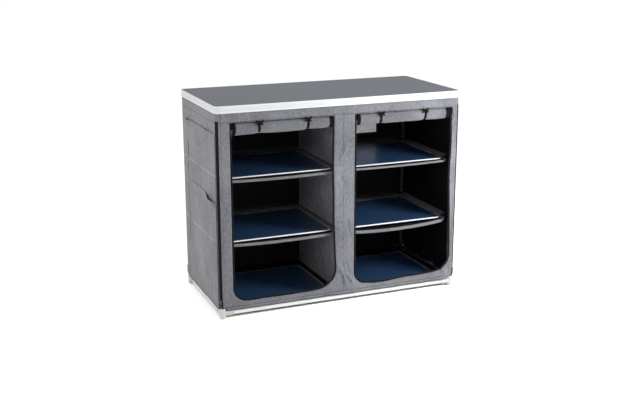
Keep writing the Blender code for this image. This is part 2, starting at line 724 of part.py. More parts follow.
def door_roll(name, side):
    """A door rolled up: a flap from the seam under the valance, then the turns of the roll."""
    last = 90 - 360 * ROLL_TURNS
    outside = roll_points(90, last, 0)
    inside = roll_points(last, 90, -ROLL_CLOTH)
    seam = -COVER_Y
    section = [(seam, outside[0][1]), *outside, *inside, (seam, inside[-1][1])]
    spot = at(x=side * DOOR_MIDDLE) @ FACING_SIDE
    title = "door_roll_" + name
    place(outline(title, [section], ROLL_LENGTH), title, GREY_CLOTH, spot)


def door_tie(name, x):
    """A webbing strap from behind the seam round the roll to a crossed knot in front."""
    front = ROLL_Y - roll_radius(TIE_LAST_ANGLE) - GAP
    inside = roll_points(TIE_FIRST_ANGLE, TIE_LAST_ANGLE, GAP) + [(front, TIE_KNOT_Z)]
    outside = roll_points(TIE_FIRST_ANGLE, TIE_LAST_ANGLE, GAP + TIE_THICK)
    outside.append((front - TIE_THICK, TIE_KNOT_Z))
    title = "door_tie_" + name
    strap = solid_outline(
        title, [outside + inside[::-1]], TIE_WIDTH, BLACK_TAPE, at(x=x) @ FACING_SIDE
    )
    half, end = KNOT_LENGTH / 2, KNOT_WIDTH / 2
    bar = rounded_rectangle(-half, half, -end, end, end * KNOT_ROUND_SHARE, 2)
    for layer, lean in enumerate((-KNOT_ANGLE, KNOT_ANGLE)):
        knot_y = front - TIE_THICK / 2 - layer * KNOT_STEP
        turn = Matrix.Rotation(math.radians(lean), 4, "Z")
        spot = at(x, knot_y, TIE_KNOT_Z) @ FACING_FRONT @ turn
        join(strap, solid_outline(f"{title}_knot", [bar], KNOT_THICK, BLACK_TAPE, spot, CUTTERS))


def rolled_doors():
    for name, side in SIDES.items():
        door_roll(name, side)
        middle = side * DOOR_MIDDLE
        for tie, way in SIDES.items():
            door_tie(f"{name}_{tie}", middle + way * TIE_SPACING / 2)


# Inside


def divider():
    """The wall between the bays, cut away round the top rails."""
    depth = COVER_Y - CLOTH - GAP
    rail_depth = CORNER_Y - TUBE_R - GAP
    rail_low = TOP_RAIL_Z - TUBE_R - GAP
    right = [(depth, FLOOR_TOP + GAP), (depth, rail_low), (rail_depth, rail_low)]
    right.append((rail_depth, BAND_TOP))
    shape = right + [(-y, z) for y, z in reversed(right)]
    place(outline("divider", [shape], DIVIDER_THICK), "divider", DARK_CLOTH, FACING_SIDE)


def floor_cloth():
    """The fabric floor: it lies over the rails, and inside the sleeves at each corner."""
    inner_x = CORNER_X - SLEEVE_REACH - FLOOR_CLEARANCE
    inner_y = CORNER_Y - SLEEVE_REACH - FLOOR_CLEARANCE
    beside_x = CORNER_X - COLLAR_R - FLOOR_CLEARANCE
    beside_y = CORNER_Y - COLLAR_R - FLOOR_CLEARANCE
    outer_x, outer_y = COVER_X - CLOTH - GAP, COVER_Y - CLOTH - GAP
    corner = [(outer_x, inner_y), (beside_x, inner_y), (beside_x, beside_y)]
    corner += [(inner_x, beside_y), (inner_x, outer_y)]
    top = corner + [(-x, y) for x, y in reversed(corner)]
    shape = top + [(-x, -y) for x, y in top]
    spot = at(z=FLOOR_TOP - CLOTH / 2)
    place(outline("floor_cloth", [shape], CLOTH), "floor_cloth", DARK_CLOTH, spot)


def board(level, name, side, top):
    """A loose shelf board with its origin in its middle."""
    half_x, half_y = (BOARD_X1 - BOARD_X0) / 2, (BOARD_Y1 - BOARD_Y0) / 2
    shape = rounded_rectangle(-half_x, half_x, -half_y, half_y, BOARD_CORNER_R)
    middle_x, middle_y = side * (BOARD_X0 + BOARD_X1) / 2, (BOARD_Y0 + BOARD_Y1) / 2
    spot = at(middle_x, middle_y, top - BOARD_THICK / 2)
    made = solid_outline(f"shelf_board_{level}_{name}", [shape], BOARD_THICK, NAVY, spot)
    chamfer = made.modifiers.new("chamfer", "BEVEL")
    chamfer.width = BOARD_CHAMFER
    chamfer.segments = 1


def boards():
    tops = {**SHELF_TOPS, "floor": FLOOR_BOARD_TOP}
    for level, top in tops.items():
        for name, side in SIDES.items():
            board(level, name, side, top)


def smooth(share):
    share = min(max(share, 0.0), 1.0)
    return share * share * (3 - 2 * share)


def evenly(first, last, count):
    return [first + (last - first) * step / count for step in range(count)]


def sling_height(x, y, inner, outer, depth):
    """Height of a sling over its flat part: raised at its sewn edges, sagging along the front."""
    rises = (
        SLING_RISE_OUTER * smooth((x - BOARD_X1) / (outer - BOARD_X1)),
        SLING_RISE_INNER * smooth((BOARD_X0 - x) / (BOARD_X0 - inner)),
        SLING_RISE_REAR * smooth((y - BOARD_Y1) / (depth - BOARD_Y1)),
    )
    across = (x - inner) / (outer - inner)
    forward = (BOARD_Y0 + SLING_SAG_DEPTH - y) / (BOARD_Y0 + SLING_SAG_DEPTH + depth)
    return max(rises) - SLING_SAG * 4 * across * (1 - across) * smooth(forward)


def sling(level, name, side):
    """A fabric sling under a board, with a hem along its front and loops round the legs."""
    flat = SHELF_TOPS[level] - BOARD_THICK - GAP
    inner, outer = DIVIDER_THICK / 2 + GAP, COVER_X - CLOTH - GAP
    depth = CORNER_Y - TUBE_R - 2 * GAP
    columns = evenly(inner, BOARD_X0, 2) + evenly(BOARD_X0, BOARD_X1, SLING_COLUMNS)
    columns += evenly(BOARD_X1, outer, 3) + [outer]
    rows = [-depth] + evenly(-depth, BOARD_Y0, 1) + evenly(BOARD_Y0, BOARD_Y0 + SLING_SAG_DEPTH, 3)
    rows += evenly(BOARD_Y0 + SLING_SAG_DEPTH, BOARD_Y1, SLING_ROWS) + evenly(BOARD_Y1, depth, 2)
    rows.append(depth)
    mesh = bpy.data.meshes.new(f"shelf_sling_{level}_{name}")
    shape = bmesh.new()
    bmesh.ops.create_grid(shape, x_segments=len(columns) - 1, y_segments=len(rows) - 1, size=1)
    for vert in shape.verts:
        column = round((vert.co.x + 1) / 2 * (len(columns) - 1))
        row = round((vert.co.y + 1) / 2 * (len(rows) - 1))
        x, y = columns[column], rows[row]
        hem = SLING_HEM if row == 0 else 0
        vert.co = (side * x, y, flat + sling_height(x, y, inner, outer, depth) - hem)
    if side < 0:
        bmesh.ops.reverse_faces(shape, faces=shape.faces)
    shape.to_mesh(mesh)
    shape.free()
    cloth = place(mesh, mesh.name, SLING_CLOTH)
    solid = cloth.modifiers.new("thickness", "SOLIDIFY")
    solid.thickness = CLOTH
    solid.offset = -1
    solid.use_even_offset = True
    ring = [
        (LOOP_R, LOOP_HEIGHT / 2),
        (LOOP_R, -LOOP_HEIGHT / 2),
        (SOCKET_R, -LOOP_HEIGHT / 2),
        (SOCKET_R, LOOP_HEIGHT / 2),
    ]
    for run, sy in RUNS.items():
        height = flat + sling_height(CORNER_X, sy * depth, inner, outer, depth) - CLOTH / 2
        spot = at(side * CORNER_X, sy * CORNER_Y, height)
        join(cloth, turned(f"{mesh.name}_loop_{run}", ring, SLING_CLOTH, spot, CUTTERS))


def slings():
    for level in SHELF_TOPS:
        for name, side in SIDES.items():
            sling(level, name, side)


def side_pockets():
    """Two pockets in one cloth on the left side, each open along its upper edge."""
    layer = POCKET_SLOT + POCKET_CLOTH
    base_x = -COVER_X - GAP - layer / 2
    name = "side_pockets"
    base = pocket_sheet(name, POCKET_BOTTOM, POCKET_MOUTHS["upper"], layer, base_x, PARTS)
    outer_x = base_x - layer / 2 - layer / 2
    mouth, thick = POCKET_MOUTHS["lower"], layer + POCKET_SLOT / 2
    lower_x = outer_x + POCKET_SLOT / 4
    join(base, pocket_sheet(name + "_lower", POCKET_BOTTOM, mouth, thick, lower_x, CUTTERS))
    low = POCKET_MOUTHS["lower"] + POCKET_HEM
    back = base_x + layer / 2 - POCKET_SLOT / 2 + OVERRUN / 2
    slot = POCKET_SLOT + OVERRUN
    mouth = POCKET_MOUTHS["upper"] + OVERRUN
    cut(base, pocket_sheet(name + "_upper_slot", low, mouth, slot, back, CUTTERS, POCKET_HEM))
    low, mouth = POCKET_BOTTOM + POCKET_HEM, POCKET_MOUTHS["lower"] + OVERRUN
    middle = base_x - layer / 2 - POCKET_SLOT / 2
    cut(base, pocket_sheet(name + "_lower_slot", low, mouth, POCKET_SLOT, middle, CUTTERS, POCKET_HEM))


def pocket_sheet(name, low, high, thick, x, collection, inset=0.0):
    y0, y1 = POCKET_Y0 + inset, POCKET_Y1 - inset
    shape = [(y0, low), (y1, low), (y1, high), (y0, high)]
    return solid_outline(name, [shape], thick, GREY_CLOTH, at(x=x) @ FACING_SIDE, collection)


def main():
    legs()
    rails("bottom", RAIL_Z, RAIL_END)
    rails("top", TOP_RAIL_Z, TOP_RAIL_END)
    for name, (sx, sy) in CORNERS.items():
        bottom_connector(name, sx, sy)
        top_connector(name, sx, sy)
        snap_button(name, sx, sy)
        corner_zip(name, sx, sy)
        corner_slider(name, sx, sy)
    worktop_edge()
    worktop_board()
    front_panel()
    rear_panel()
    vent_net()
    for name, side in SIDES.items():
        side_panel(name, side)
        door_slider(name, side)
    rolled_doors()
    divider()
    floor_cloth()
    boards()
    slings()
    side_pockets()


main()
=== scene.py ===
"""Looks of the camping cupboard: the finish of its rigid pieces, and the cloth, zips, rolled doors and
trim that stand for its plain soft solids.

Metres, in the CAD frame: X to the right, Y to the back, Z up.
"""

import math

import bpy
import numpy as np
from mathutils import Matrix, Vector, noise
from mathutils.geometry import delaunay_2d_cdt


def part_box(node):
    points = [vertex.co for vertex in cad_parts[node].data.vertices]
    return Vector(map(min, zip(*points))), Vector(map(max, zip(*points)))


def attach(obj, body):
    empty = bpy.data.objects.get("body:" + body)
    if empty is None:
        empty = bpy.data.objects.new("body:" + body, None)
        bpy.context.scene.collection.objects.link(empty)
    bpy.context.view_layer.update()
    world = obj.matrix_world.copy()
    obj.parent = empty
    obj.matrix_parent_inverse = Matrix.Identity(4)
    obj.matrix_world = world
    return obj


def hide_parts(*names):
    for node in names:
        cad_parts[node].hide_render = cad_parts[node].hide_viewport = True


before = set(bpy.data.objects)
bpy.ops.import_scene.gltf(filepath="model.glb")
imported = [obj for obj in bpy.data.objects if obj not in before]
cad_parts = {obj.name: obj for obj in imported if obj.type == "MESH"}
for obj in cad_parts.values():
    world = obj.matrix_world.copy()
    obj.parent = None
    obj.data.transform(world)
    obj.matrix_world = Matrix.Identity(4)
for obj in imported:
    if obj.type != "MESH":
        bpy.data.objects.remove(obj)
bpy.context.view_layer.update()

# Camera, fitted to the worktop's and the cover's corners in the 640 by 400 photograph
FOCAL_PX = 990.9
IMAGE_WIDTH_PX = 640
SENSOR = 36.0  # millimetres, as Blender takes it
AZIMUTH, ELEVATION = -22.771, 14.911
CAMERA_AT = (-1.4945, -3.5628, 1.3862)

# Sizes that the cloth shares with the CAD
LEG_LOW, LEG_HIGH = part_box("leg_front_right")
CORNER_X = (LEG_LOW.x + LEG_HIGH.x) / 2
CORNER_Y = -(LEG_LOW.y + LEG_HIGH.y) / 2
LEG_R = (LEG_HIGH.x - LEG_LOW.x) / 2
COVER_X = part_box("corner_zip_front_right")[1].x
COVER_R = COVER_X - CORNER_X
COVER_Y = CORNER_Y + COVER_R
HEM_Z, BAND_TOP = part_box("front_panel")[0].z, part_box("front_panel")[1].z
ZIP_LOW, ZIP_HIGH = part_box("corner_zip_front_left")[0].z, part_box("corner_zip_front_left")[1].z
CLOTH = 0.0012  # thickness of the cover
THIN_CLOTH = 0.0006
GAP = 0.0003
FOOT_NOTCH, NOTCH_LIFT = 0.0137, 0.001  # of a panel beside its foot
FOOT_TOP = 0.0432  # of a bottom connector

DOOR_X0, DOOR_X1 = 0.047, 0.446
DOOR_MIDDLE = (DOOR_X0 + DOOR_X1) / 2
DOOR_LOW, DOOR_TOP = 0.070, 0.742
DOOR_CORNER_R = 0.070
DOOR_TIGHT_R = 0.045  # of a door's lower left corner
TAPE_SEWN, TAPE_WIDTH, TAPE_THICK = 0.001, 0.007, 0.0008
TRACK_LOW = 0.150  # of the run of a door's slider

FLAP = 0.0027  # of a panel round the corner, over the zip's tape
FLAP_DRAW = 0.8  # share of the flap that is drawn back where the zip stands open
ZIP_OPEN_HIGH = 0.090
ZIP_OPEN_ANGLE = 30.0  # of each half, at the zip's lower end
TOOTH_HALF_ANGLE = 7.0

WINDOW_LOW, WINDOW_HIGH = Vector((0.140, 0, 0.570)), Vector((0.360, 0, 0.680))
WINDOW_MIDDLE = (WINDOW_LOW.x + WINDOW_HIGH.x) / 2

SPACING = 0.006  # of a cloth's points
BODY = "frame"
FORWARD = (0.0, -1.0, 0.0)
SIDES = {"left": -1, "right": 1}
CORNERS = {
    "front_left": (-1, -1),
    "front_right": (1, -1),
    "rear_left": (-1, 1),
    "rear_right": (1, 1),
}


# Materials


class Finish:
    """A Principled material and the nodes that feed it."""

    def __init__(self, name, roughness, metallic=0.0, **sockets):
        self.material = bpy.data.materials.new(name)
        self.material.use_nodes = True
        self.tree = self.material.node_tree
        self.shader = self.tree.nodes["Principled BSDF"]
        self.set("Roughness", roughness)
        self.set("Metallic", metallic)
        for title, value in sockets.items():
            self.set(title.replace("_", " ").title().replace("Ior", "IOR"), value)
        self.place = self.node("TexCoord").outputs["Object"]

    def feed(self, socket, value):
        """Sets a socket to a value, or feeds it from another socket."""
        if isinstance(value, bpy.types.NodeSocket):
            self.tree.links.new(value, socket)
        else:
            socket.default_value = value

    def set(self, title, value):
        self.feed(self.shader.inputs[title], value)

    def node(self, kind, inputs=(), **settings):
        made = self.tree.nodes.new("ShaderNode" + kind)
        for title, value in settings.items():
            setattr(made, title, value)
        for socket, value in dict(inputs).items():
            self.feed(made.inputs[socket], value)
        return made

    def math(self, operation, first, second=0.0):
        return self.node("Math", {0: first, 1: second}, operation=operation).outputs[0]

    def times(self, first, second):
        return self.math("MULTIPLY", first, second)

    def weighted(self, *pairs):
        """The sum of values, each with its own weight."""
        total = 0.0
        for value, weight in pairs:
            total = self.math("ADD", total, self.times(value, weight))
        return total

    def noise(self, stretch, detail=2.0, roughness=0.5, place=None):
        """Noise with its own number of waves a metre along each axis."""
        scaled = self.node("Mapping", {"Vector": place or self.place, "Scale": stretch})
        inputs = {"Vector": scaled.outputs[0], "Scale": 1.0, "Detail": detail, "Roughness": roughness}
        return self.node("TexNoise", inputs).outputs["Fac"]

    def ramp(self, factor, *stops):
        """A colour, or a grey value, from (position, value) stops."""
        made = self.node("ValToRGB", {"Fac": factor})
        line = made.color_ramp
        while len(line.elements) < len(stops):
            line.elements.new(0.5)
        for element, (position, value) in zip(line.elements, stops):
            element.position = position
            element.color = (*value, 1) if hasattr(value, "__len__") else (value, value, value, 1)
        return made.outputs["Color"]

    def blend(self, factor, first, second):
        """A colour between two, each a colour or a socket."""
        made = self.node("Mix", {"Factor": factor}, data_type="RGBA")
        for socket, value in ((made.inputs[6], first), (made.inputs[7], second)):
            self.feed(socket, value if isinstance(value, bpy.types.NodeSocket) else (*value, 1))
        return made.outputs[2]

    def axis(self, name):
        if not hasattr(self, "axes"):
            self.axes = self.node("SeparateXYZ", {0: self.place}).outputs
        return self.axes[name]

    def line(self, axis, position, half_width):
        """1 on a thin line at one place along an axis, falling to 0 beside it."""
        away = self.math("ABSOLUTE", self.math("SUBTRACT", self.axis(axis), position))
        inputs = {"Value": away, "From Min": half_width * 0.4, "From Max": half_width}
        inputs.update({"To Min": 1.0, "To Max": 0.0})
        return self.node("MapRange", inputs, interpolation_type="SMOOTHSTEP").outputs[0]

    def weave(self, pitch):
        """Threads over and under each other, from -1 to 1, on any upright face."""
        across = self.math("ADD", self.axis("X"), self.axis("Y"))
        turns = [self.times(along, math.tau / pitch) for along in (across, self.axis("Z"))]
        return self.times(*[self.math("SINE", turn) for turn in turns])

    def bump(self, height, depth, normal=None):
        inputs = {"Height": height, "Distance": depth, "Strength": 1.0}
        if normal is not None:
            inputs["Normal"] = normal
        made = self.node("Bump", inputs).outputs[0]
        self.set("Normal", made)
        return made


def toned(colour, factor):
    return [channel * factor for channel in colour]


SLUBS, YARNS, WORN = (230, 230, 90), (720, 720, 260), (11, 11, 8)  # waves a metre in the melange
MELANGE_PITCH, PLAIN_PITCH, WEB_PITCH = 0.0016, 0.0013, 0.0011  # of the weaves
SEAM_HALF, FOLD_HALF = 0.0022, 0.0026  # of the lines' widths
YARN_RELIEF, WORN_RELIEF, PLAIN_RELIEF, WEB_RELIEF = 0.00045, 0.005, 0.00012, 0.00015
DRAWN_RELIEF, GRAIN_RELIEF, PEBBLE_RELIEF, LACQUER_RELIEF = 0.00004, 0.00012, 0.000006, 0.00003
# Colour of the painted shadow in a slit
PAINTED_SLIT_SHADOW = (0.004, 0.004, 0.004)


def melange(name, dark, light, seams=(), folds=(), slits=()):
    """Cloth of mixed light and dark yarns, with upright slubs.

    Seams and pressed folds are (axis, place) lines, the first dark and the other pale; slits are
    (axis, place, half width, other axis, low, high): broken near-black lines of painted shadow where a gap in
    the cloth would be shaded.
    """
    made = Finish(name, 0.9, sheen_weight=0.12, sheen_roughness=0.6, specular_ior_level=0.2)
    slubs = made.noise(SLUBS, 3.0, 0.6)
    yarns = made.noise(YARNS, 2.0, 0.7)
    worn = made.noise(WORN, 3.0)
    tone = made.weighted((slubs, 0.40), (yarns, 0.36), (worn, 0.24))
    colour = made.ramp(tone, (0.36, dark), (0.64, light))
    height = made.weighted((yarns, 1.0), (made.weave(MELANGE_PITCH), 0.35))
    for axis, place in seams:
        line = made.line(axis, place, SEAM_HALF)
        shadow = made.times(line, 0.22 if axis == "X" else 0.45)
        colour = made.blend(shadow, colour, toned(dark, 0.35))
        height = made.weighted((height, 1.0), (line, -2.0))
    for axis, place in folds:
        strength = made.ramp(worn, (0.35, 0.15), (0.6, 0.6))
        line = made.times(made.line(axis, place, FOLD_HALF), strength)
        colour = made.blend(line, colour, toned(light, 1.9))
        height = made.math("ADD", height, line)
    # Painted shadow: a broken near-black line where a slit in the cloth would stand in shade
    for axis, place, half_width, other, low, high in slits:
        along = made.axis(other)
        within = made.times(made.math("GREATER_THAN", along, low), made.math("LESS_THAN", along, high))
        broken = made.ramp(made.noise((1, 1, 26), 2.0), (0.33, 0.0), (0.43, 1.0))
        line = made.times(made.times(made.line(axis, place, half_width), within), broken)
        colour = made.blend(line, colour, PAINTED_SLIT_SHADOW)
        height = made.weighted((height, 1.0), (line, -3.0))
    made.set("Base Color", colour)
    made.bump(height, YARN_RELIEF, made.bump(worn, WORN_RELIEF))
    return made.material


def plain_cloth(name, dark, light, roughness=0.75, gloss=0.25):
    """Close plain-woven cloth in one shade, a little uneven."""
    made = Finish(name, roughness, specular_ior_level=gloss)
    mottle = made.noise((45, 45, 45), 3.0, 0.65)
    yarns = made.noise((700, 700, 700), 1.0)
    tone = made.weighted((mottle, 0.7), (yarns, 0.3))
    made.set("Base Color", made.ramp(tone, (0.35, dark), (0.65, light)))
    made.bump(made.weighted((yarns, 0.5), (made.weave(PLAIN_PITCH), 1.0)), PLAIN_RELIEF)
    return made.material


def webbing(name, shade):
    """Narrow woven tape: ribs across it, a soft gloss."""
    made = Finish(name, 0.8, specular_ior_level=0.06)
    ribs = made.noise((900, 900, 260), 2.0)
    made.set("Base Color", made.ramp(ribs, (0.35, toned(shade, 0.6)), (0.7, toned(shade, 1.8))))
    made.bump(made.math("ADD", ribs, made.weave(WEB_PITCH)), WEB_RELIEF)
    return made.material


def brushed(name, colour, roughness, along, metallic=1.0):
    """Anodised aluminium, with fine draw lines along the given axes."""
    made = Finish(name, roughness, metallic)
    fine, coarse = 2600, 12
    lines = made.noise([coarse if axis in along else fine for axis in "XYZ"], 2.0)
    stain = made.noise((22, 22, 22), 3.0)
    shade = made.weighted((lines, 0.5), (stain, 0.5))
    made.set("Base Color", made.ramp(shade, (0.3, toned(colour, 0.93)), (0.7, colour)))
    spread = made.node("MapRange", {"Value": lines, "To Min": roughness * 0.8, "To Max": roughness * 1.25})
    made.set("Roughness", spread.outputs[0])
    made.bump(lines, DRAWN_RELIEF)
    return made.material


def moulded(name, colour, roughness, gloss=0.45):
    """Injection-moulded plastic with a fine matt grain and slight sink marks."""
    made = Finish(name, roughness, specular_ior_level=gloss)
    grain = made.noise((2200, 2200, 2200), 2.0)
    cloud = made.noise((60, 60, 60), 2.0)
    made.set("Base Color", made.ramp(cloud, (0.35, toned(colour, 0.94)), (0.65, colour)))
    made.bump(made.weighted((grain, 0.12), (cloud, 1.0)), GRAIN_RELIEF)
    return made.material


RIM_METAL = 0.3  # of a board's edge trim, a satin silver film
RIM_WIDTH = 0.0046  # of the trim on the board's face
RIM_LOW = 0.4  # of the board's thickness, below which the edge is left navy as painted shade for the dark gap under the board
BOARD_CORNER = 0.018  # radius in plan


def trim(made, size):
    """1 on the trim round a board: the upper part of its edge, and a narrow border on its top face; below
    RIM_LOW the edge stays navy, painted shade for the dark gap under the board.
    """
    place = made.node("SeparateXYZ", {0: made.node("TexCoord").outputs["Generated"]}).outputs
    beyond = []
    for title, length in zip("XY", size):
        away = made.times(made.math("ABSOLUTE", made.math("SUBTRACT", place[title], 0.5)), length)
        beyond.append(made.math("SUBTRACT", away, length / 2 - BOARD_CORNER))
    outer = [made.math("POWER", made.math("MAXIMUM", side, 0.0), 2.0) for side in beyond]
    outer = made.math("SQRT", made.math("ADD", *outer))
    inner = made.math("MINIMUM", made.math("MAXIMUM", *beyond), 0.0)
    border = made.math("GREATER_THAN", made.math("ADD", outer, inner), BOARD_CORNER - RIM_WIDTH)
    return made.times(border, made.math("GREATER_THAN", place["Z"], RIM_LOW))


def laminate(name, dark, light, roughness, gloss, rim=None, size=None):
    """A hard laminate face with a fine pebble; where rim is given, a board of that size has a metal trim."""
    made = Finish(name, roughness, specular_ior_level=gloss)
    cloud = made.noise((7, 7, 7), 3.0)
    pebble = made.noise((900, 900, 900), 1.0)
    scuffs = made.noise((16, 210, 16), 4.0, 0.7)
    colour = made.ramp(cloud, (0.3, dark), (0.7, light))
    reach = {"From Min": 0.3, "From Max": 0.75, "To Min": roughness * 0.96, "To Max": roughness * 1.08}
    made.set("Roughness", made.node("MapRange", {"Value": scuffs, **reach}).outputs[0])
    made.bump(pebble, PEBBLE_RELIEF)
    if rim is not None:
        edge = trim(made, size)
        colour = made.blend(edge, colour, rim)
        made.set("Metallic", made.times(edge, RIM_METAL))
    made.set("Base Color", colour)
    return made.material


SEAM_HIGH = BAND_TOP - 0.0325  # of the band's seam all round
SEAM_LOW = HEM_Z + 0.012
STILE_SEAM = CORNER_X - 0.006
BAND_SEAMS = [("Z", SEAM_HIGH), ("Z", SEAM_LOW)]
FRONT_SEAMS = BAND_SEAMS + [("X", place) for place in (0.0, -STILE_SEAM, STILE_SEAM)]
SIDE_FOLDS = [("Z", 0.549), ("Z", 0.302)]
# Painted shadows of the gap near the pockets' rear edge, drawn on the pockets' cloth
POCKET_SLIT_SHADOWS = [("Y", 0.138, 0.010, "Z", 0.545, 0.615), ("Y", 0.138, 0.008, "Z", 0.215, 0.535)]
COVER_SHADES = ((0.038, 0.038, 0.042), (0.149, 0.148, 0.158))

COVER = melange("cover_melange", *COVER_SHADES, BAND_SEAMS, SIDE_FOLDS)
FRONT_COVER = melange("front_melange", (0.036, 0.037, 0.043), (0.124, 0.127, 0.141), FRONT_SEAMS)
POCKET = melange("pocket_melange", *COVER_SHADES, (), SIDE_FOLDS, POCKET_SLIT_SHADOWS)
DOOR = melange("door_melange", (0.032, 0.033, 0.038), (0.100, 0.102, 0.112))
HEM = melange("hem_melange", (0.048, 0.048, 0.053), (0.112, 0.112, 0.121))
INSIDE = plain_cloth("coated_inside", (0.0025, 0.0025, 0.0032), (0.0065, 0.0065, 0.008), 0.5, 0.12)
DIVIDER = plain_cloth("divider_cloth", (0.165, 0.156, 0.175), (0.250, 0.236, 0.263), 0.85)
SLING = plain_cloth("sling_cloth", (0.060, 0.057, 0.058), (0.105, 0.100, 0.102), 0.85)
SLEEVE = plain_cloth("sleeve_cloth", (0.009, 0.009, 0.010), (0.022, 0.022, 0.024), 0.42, 0.4)
# Painted highlight: the piping is far paler than the coated lining, partly its own colour and partly a
# painted highlight, so that the floor's joint with the side walls shows as a light line
PIPING = plain_cloth("floor_piping_and_painted_highlight", (0.035, 0.035, 0.037), (0.060, 0.060, 0.062), 0.6)
BLACK_WEB = webbing("black_webbing", (0.0032, 0.0032, 0.0035))
ZIP_TEETH = moulded("zip_teeth", (0.009, 0.009, 0.0095), 0.5, 0.12)
THREAD = plain_cloth("seam_thread", (0.045, 0.046, 0.050), (0.075, 0.076, 0.080), 0.7)
NETTING = plain_cloth("netting", (0.15, 0.15, 0.137), (0.21, 0.21, 0.195), 0.7)
BINDING = plain_cloth("net_binding", (0.010, 0.010, 0.011), (0.022, 0.022, 0.024), 0.8)
PALE_ALUMINIUM = brushed("edge_aluminium", (0.44, 0.445, 0.45), 0.5, "XY", 0.4)
TUBE_X, TUBE_Y, TUBE_Z = (
    brushed(f"tube_along_{axis.lower()}", (0.47, 0.475, 0.48), 0.38, axis, 0.4) for axis in "XYZ"
)
CONNECTOR = moulded("connector_plastic", (0.285, 0.29, 0.275), 0.45)
STEEL = brushed("button_steel", (0.60, 0.61, 0.62), 0.3, "Z")
SLIDER = Finish("slider_lacquer", 0.38, 0.5, coat_weight=0.4)
SLIDER.set("Base Color", SLIDER.ramp(SLIDER.noise((400, 400, 400), 3.0), (0.3, 0.008), (0.75, 0.022)))
SLIDER.bump(SLIDER.noise((900, 900, 900)), LACQUER_RELIEF)
WORKTOP = laminate("worktop_laminate", (0.029, 0.037, 0.051), (0.034, 0.042, 0.057), 0.45, 0.26)
BOARD_LOW, BOARD_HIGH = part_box("shelf_board_upper_right")
NAVY_SHADES = ((0.0098, 0.0245, 0.056), (0.0108, 0.0268, 0.062))
SATIN_SILVER = (0.50, 0.50, 0.49)
NAVY = laminate("shelf_laminate", *NAVY_SHADES, 0.28, 0.5, SATIN_SILVER, (BOARD_HIGH - BOARD_LOW)[:2])


# Rigid pieces

SHARP = math.radians(32)  # the least angle of an edge that stays sharp or is bevelled
WELD = 1e-5

# Radii of the rounded edges
BUTTON_EDGE, TUBE_EDGE, SLIDER_EDGE = 0.0001, 0.0002, 0.0002
CONNECTOR_EDGE, BOARD_EDGE = 0.0004, 0.0005


def rounding_nodes():
    """Welds a CAD node's facets and shades its round faces smooth, without changing its shape."""
    group = bpy.data.node_groups.new("weld_and_smooth", "GeometryNodeTree")
    for way in ("INPUT", "OUTPUT"):
        group.interface.new_socket("Geometry", in_out=way, socket_type="NodeSocketGeometry")
    new, link = group.nodes.new, group.links.new
    source, result = new("NodeGroupInput"), new("NodeGroupOutput")
    weld = new("GeometryNodeMergeByDistance")
    weld.inputs["Distance"].default_value = WELD
    bare = new("GeometryNodeRemoveAttribute")
    bare.inputs["Name"].default_value = "custom_normal"
    faces, edges = new("GeometryNodeSetShadeSmooth"), new("GeometryNodeSetShadeSmooth")
    edges.domain = "EDGE"
    edges.inputs["Shade Smooth"].default_value = False
    angle, sharp = new("GeometryNodeInputMeshEdgeAngle"), new("FunctionNodeCompare")
    sharp.operation = "GREATER_THAN"
    sharp.inputs[1].default_value = SHARP
    link(angle.outputs["Unsigned Angle"], sharp.inputs[0])
    link(sharp.outputs[0], edges.inputs["Selection"])
    chain = [source, weld, bare, faces, edges, result]
    for first, second in zip(chain, chain[1:]):
        link(first.outputs[0], second.inputs[0])
    return group


ROUNDING = rounding_nodes()


def dress(node, look, edge=0.0):
    """Gives a CAD node its finish and slightly rounded edges."""
    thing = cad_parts[node]
    thing.data.materials.clear()
    thing.data.materials.append(getattr(look, "material", look))
    thing.modifiers.new("smooth", "NODES").node_group = ROUNDING
    if edge:
        bevel = thing.modifiers.new("edges", "BEVEL")
        bevel.width = edge
        bevel.segments = 2
        bevel.limit_method = "ANGLE"
        bevel.angle_limit = SHARP
        bevel.harden_normals = True


def rigid_pieces():
    dress("worktop_board", WORKTOP)
    dress("worktop_edge", PALE_ALUMINIUM, BOARD_EDGE)
    for place in ("bottom", "top"):
        for run in ("front", "rear"):
            dress(f"{place}_rail_{run}", TUBE_X, TUBE_EDGE)
        for run in SIDES:
            dress(f"{place}_rail_{run}", TUBE_Y, TUBE_EDGE)
        for corner in CORNERS:
            dress(f"{place}_connector_{corner}", CONNECTOR, CONNECTOR_EDGE)
    for run in SIDES:
        dress(f"door_zip_slider_{run}", SLIDER, SLIDER_EDGE)
        for level in ("upper", "lower", "floor"):
            dress(f"shelf_board_{level}_{run}", NAVY, BOARD_EDGE)
    for corner in CORNERS:
        dress(f"leg_{corner}", TUBE_Z)
        dress(f"snap_button_{corner}", STEEL, BUTTON_EDGE)
        dress(f"corner_zip_slider_{corner}", SLIDER, SLIDER_EDGE)


# Cloth


def ease(share):
    """From 0 to 1 with soft ends."""
    share = np.clip(share, 0.0, 1.0)
    return share * share * (3 - 2 * share)


def ripple(u, v, across, up, seed):
    """Smooth unevenness, about -1 to 1, with its own size across and up."""
    return np.array([noise.noise((a / across, b / up, seed)) for a, b in zip(u, v)]) * 1.6


def crease(u, v, start, end, width):
    """A ridge of height 1 along a line from start to end, fading at both."""
    du, dv = end[0] - start[0], end[1] - start[1]
    length = math.hypot(du, dv)
    along = ((u - start[0]) * du + (v - start[1]) * dv) / length**2
    off = ((u - start[0]) * dv - (v - start[1]) * du) / length
    return np.exp(-((off / width) ** 2)) * ease(along * 4) * ease((1 - along) * 4)


def creased(u, v, lines):
    """Ridges and hollows along lines of pulled cloth: start, end, half width and height."""
    return sum(height * crease(u, v, start, end, width) for start, end, width, height in lines)


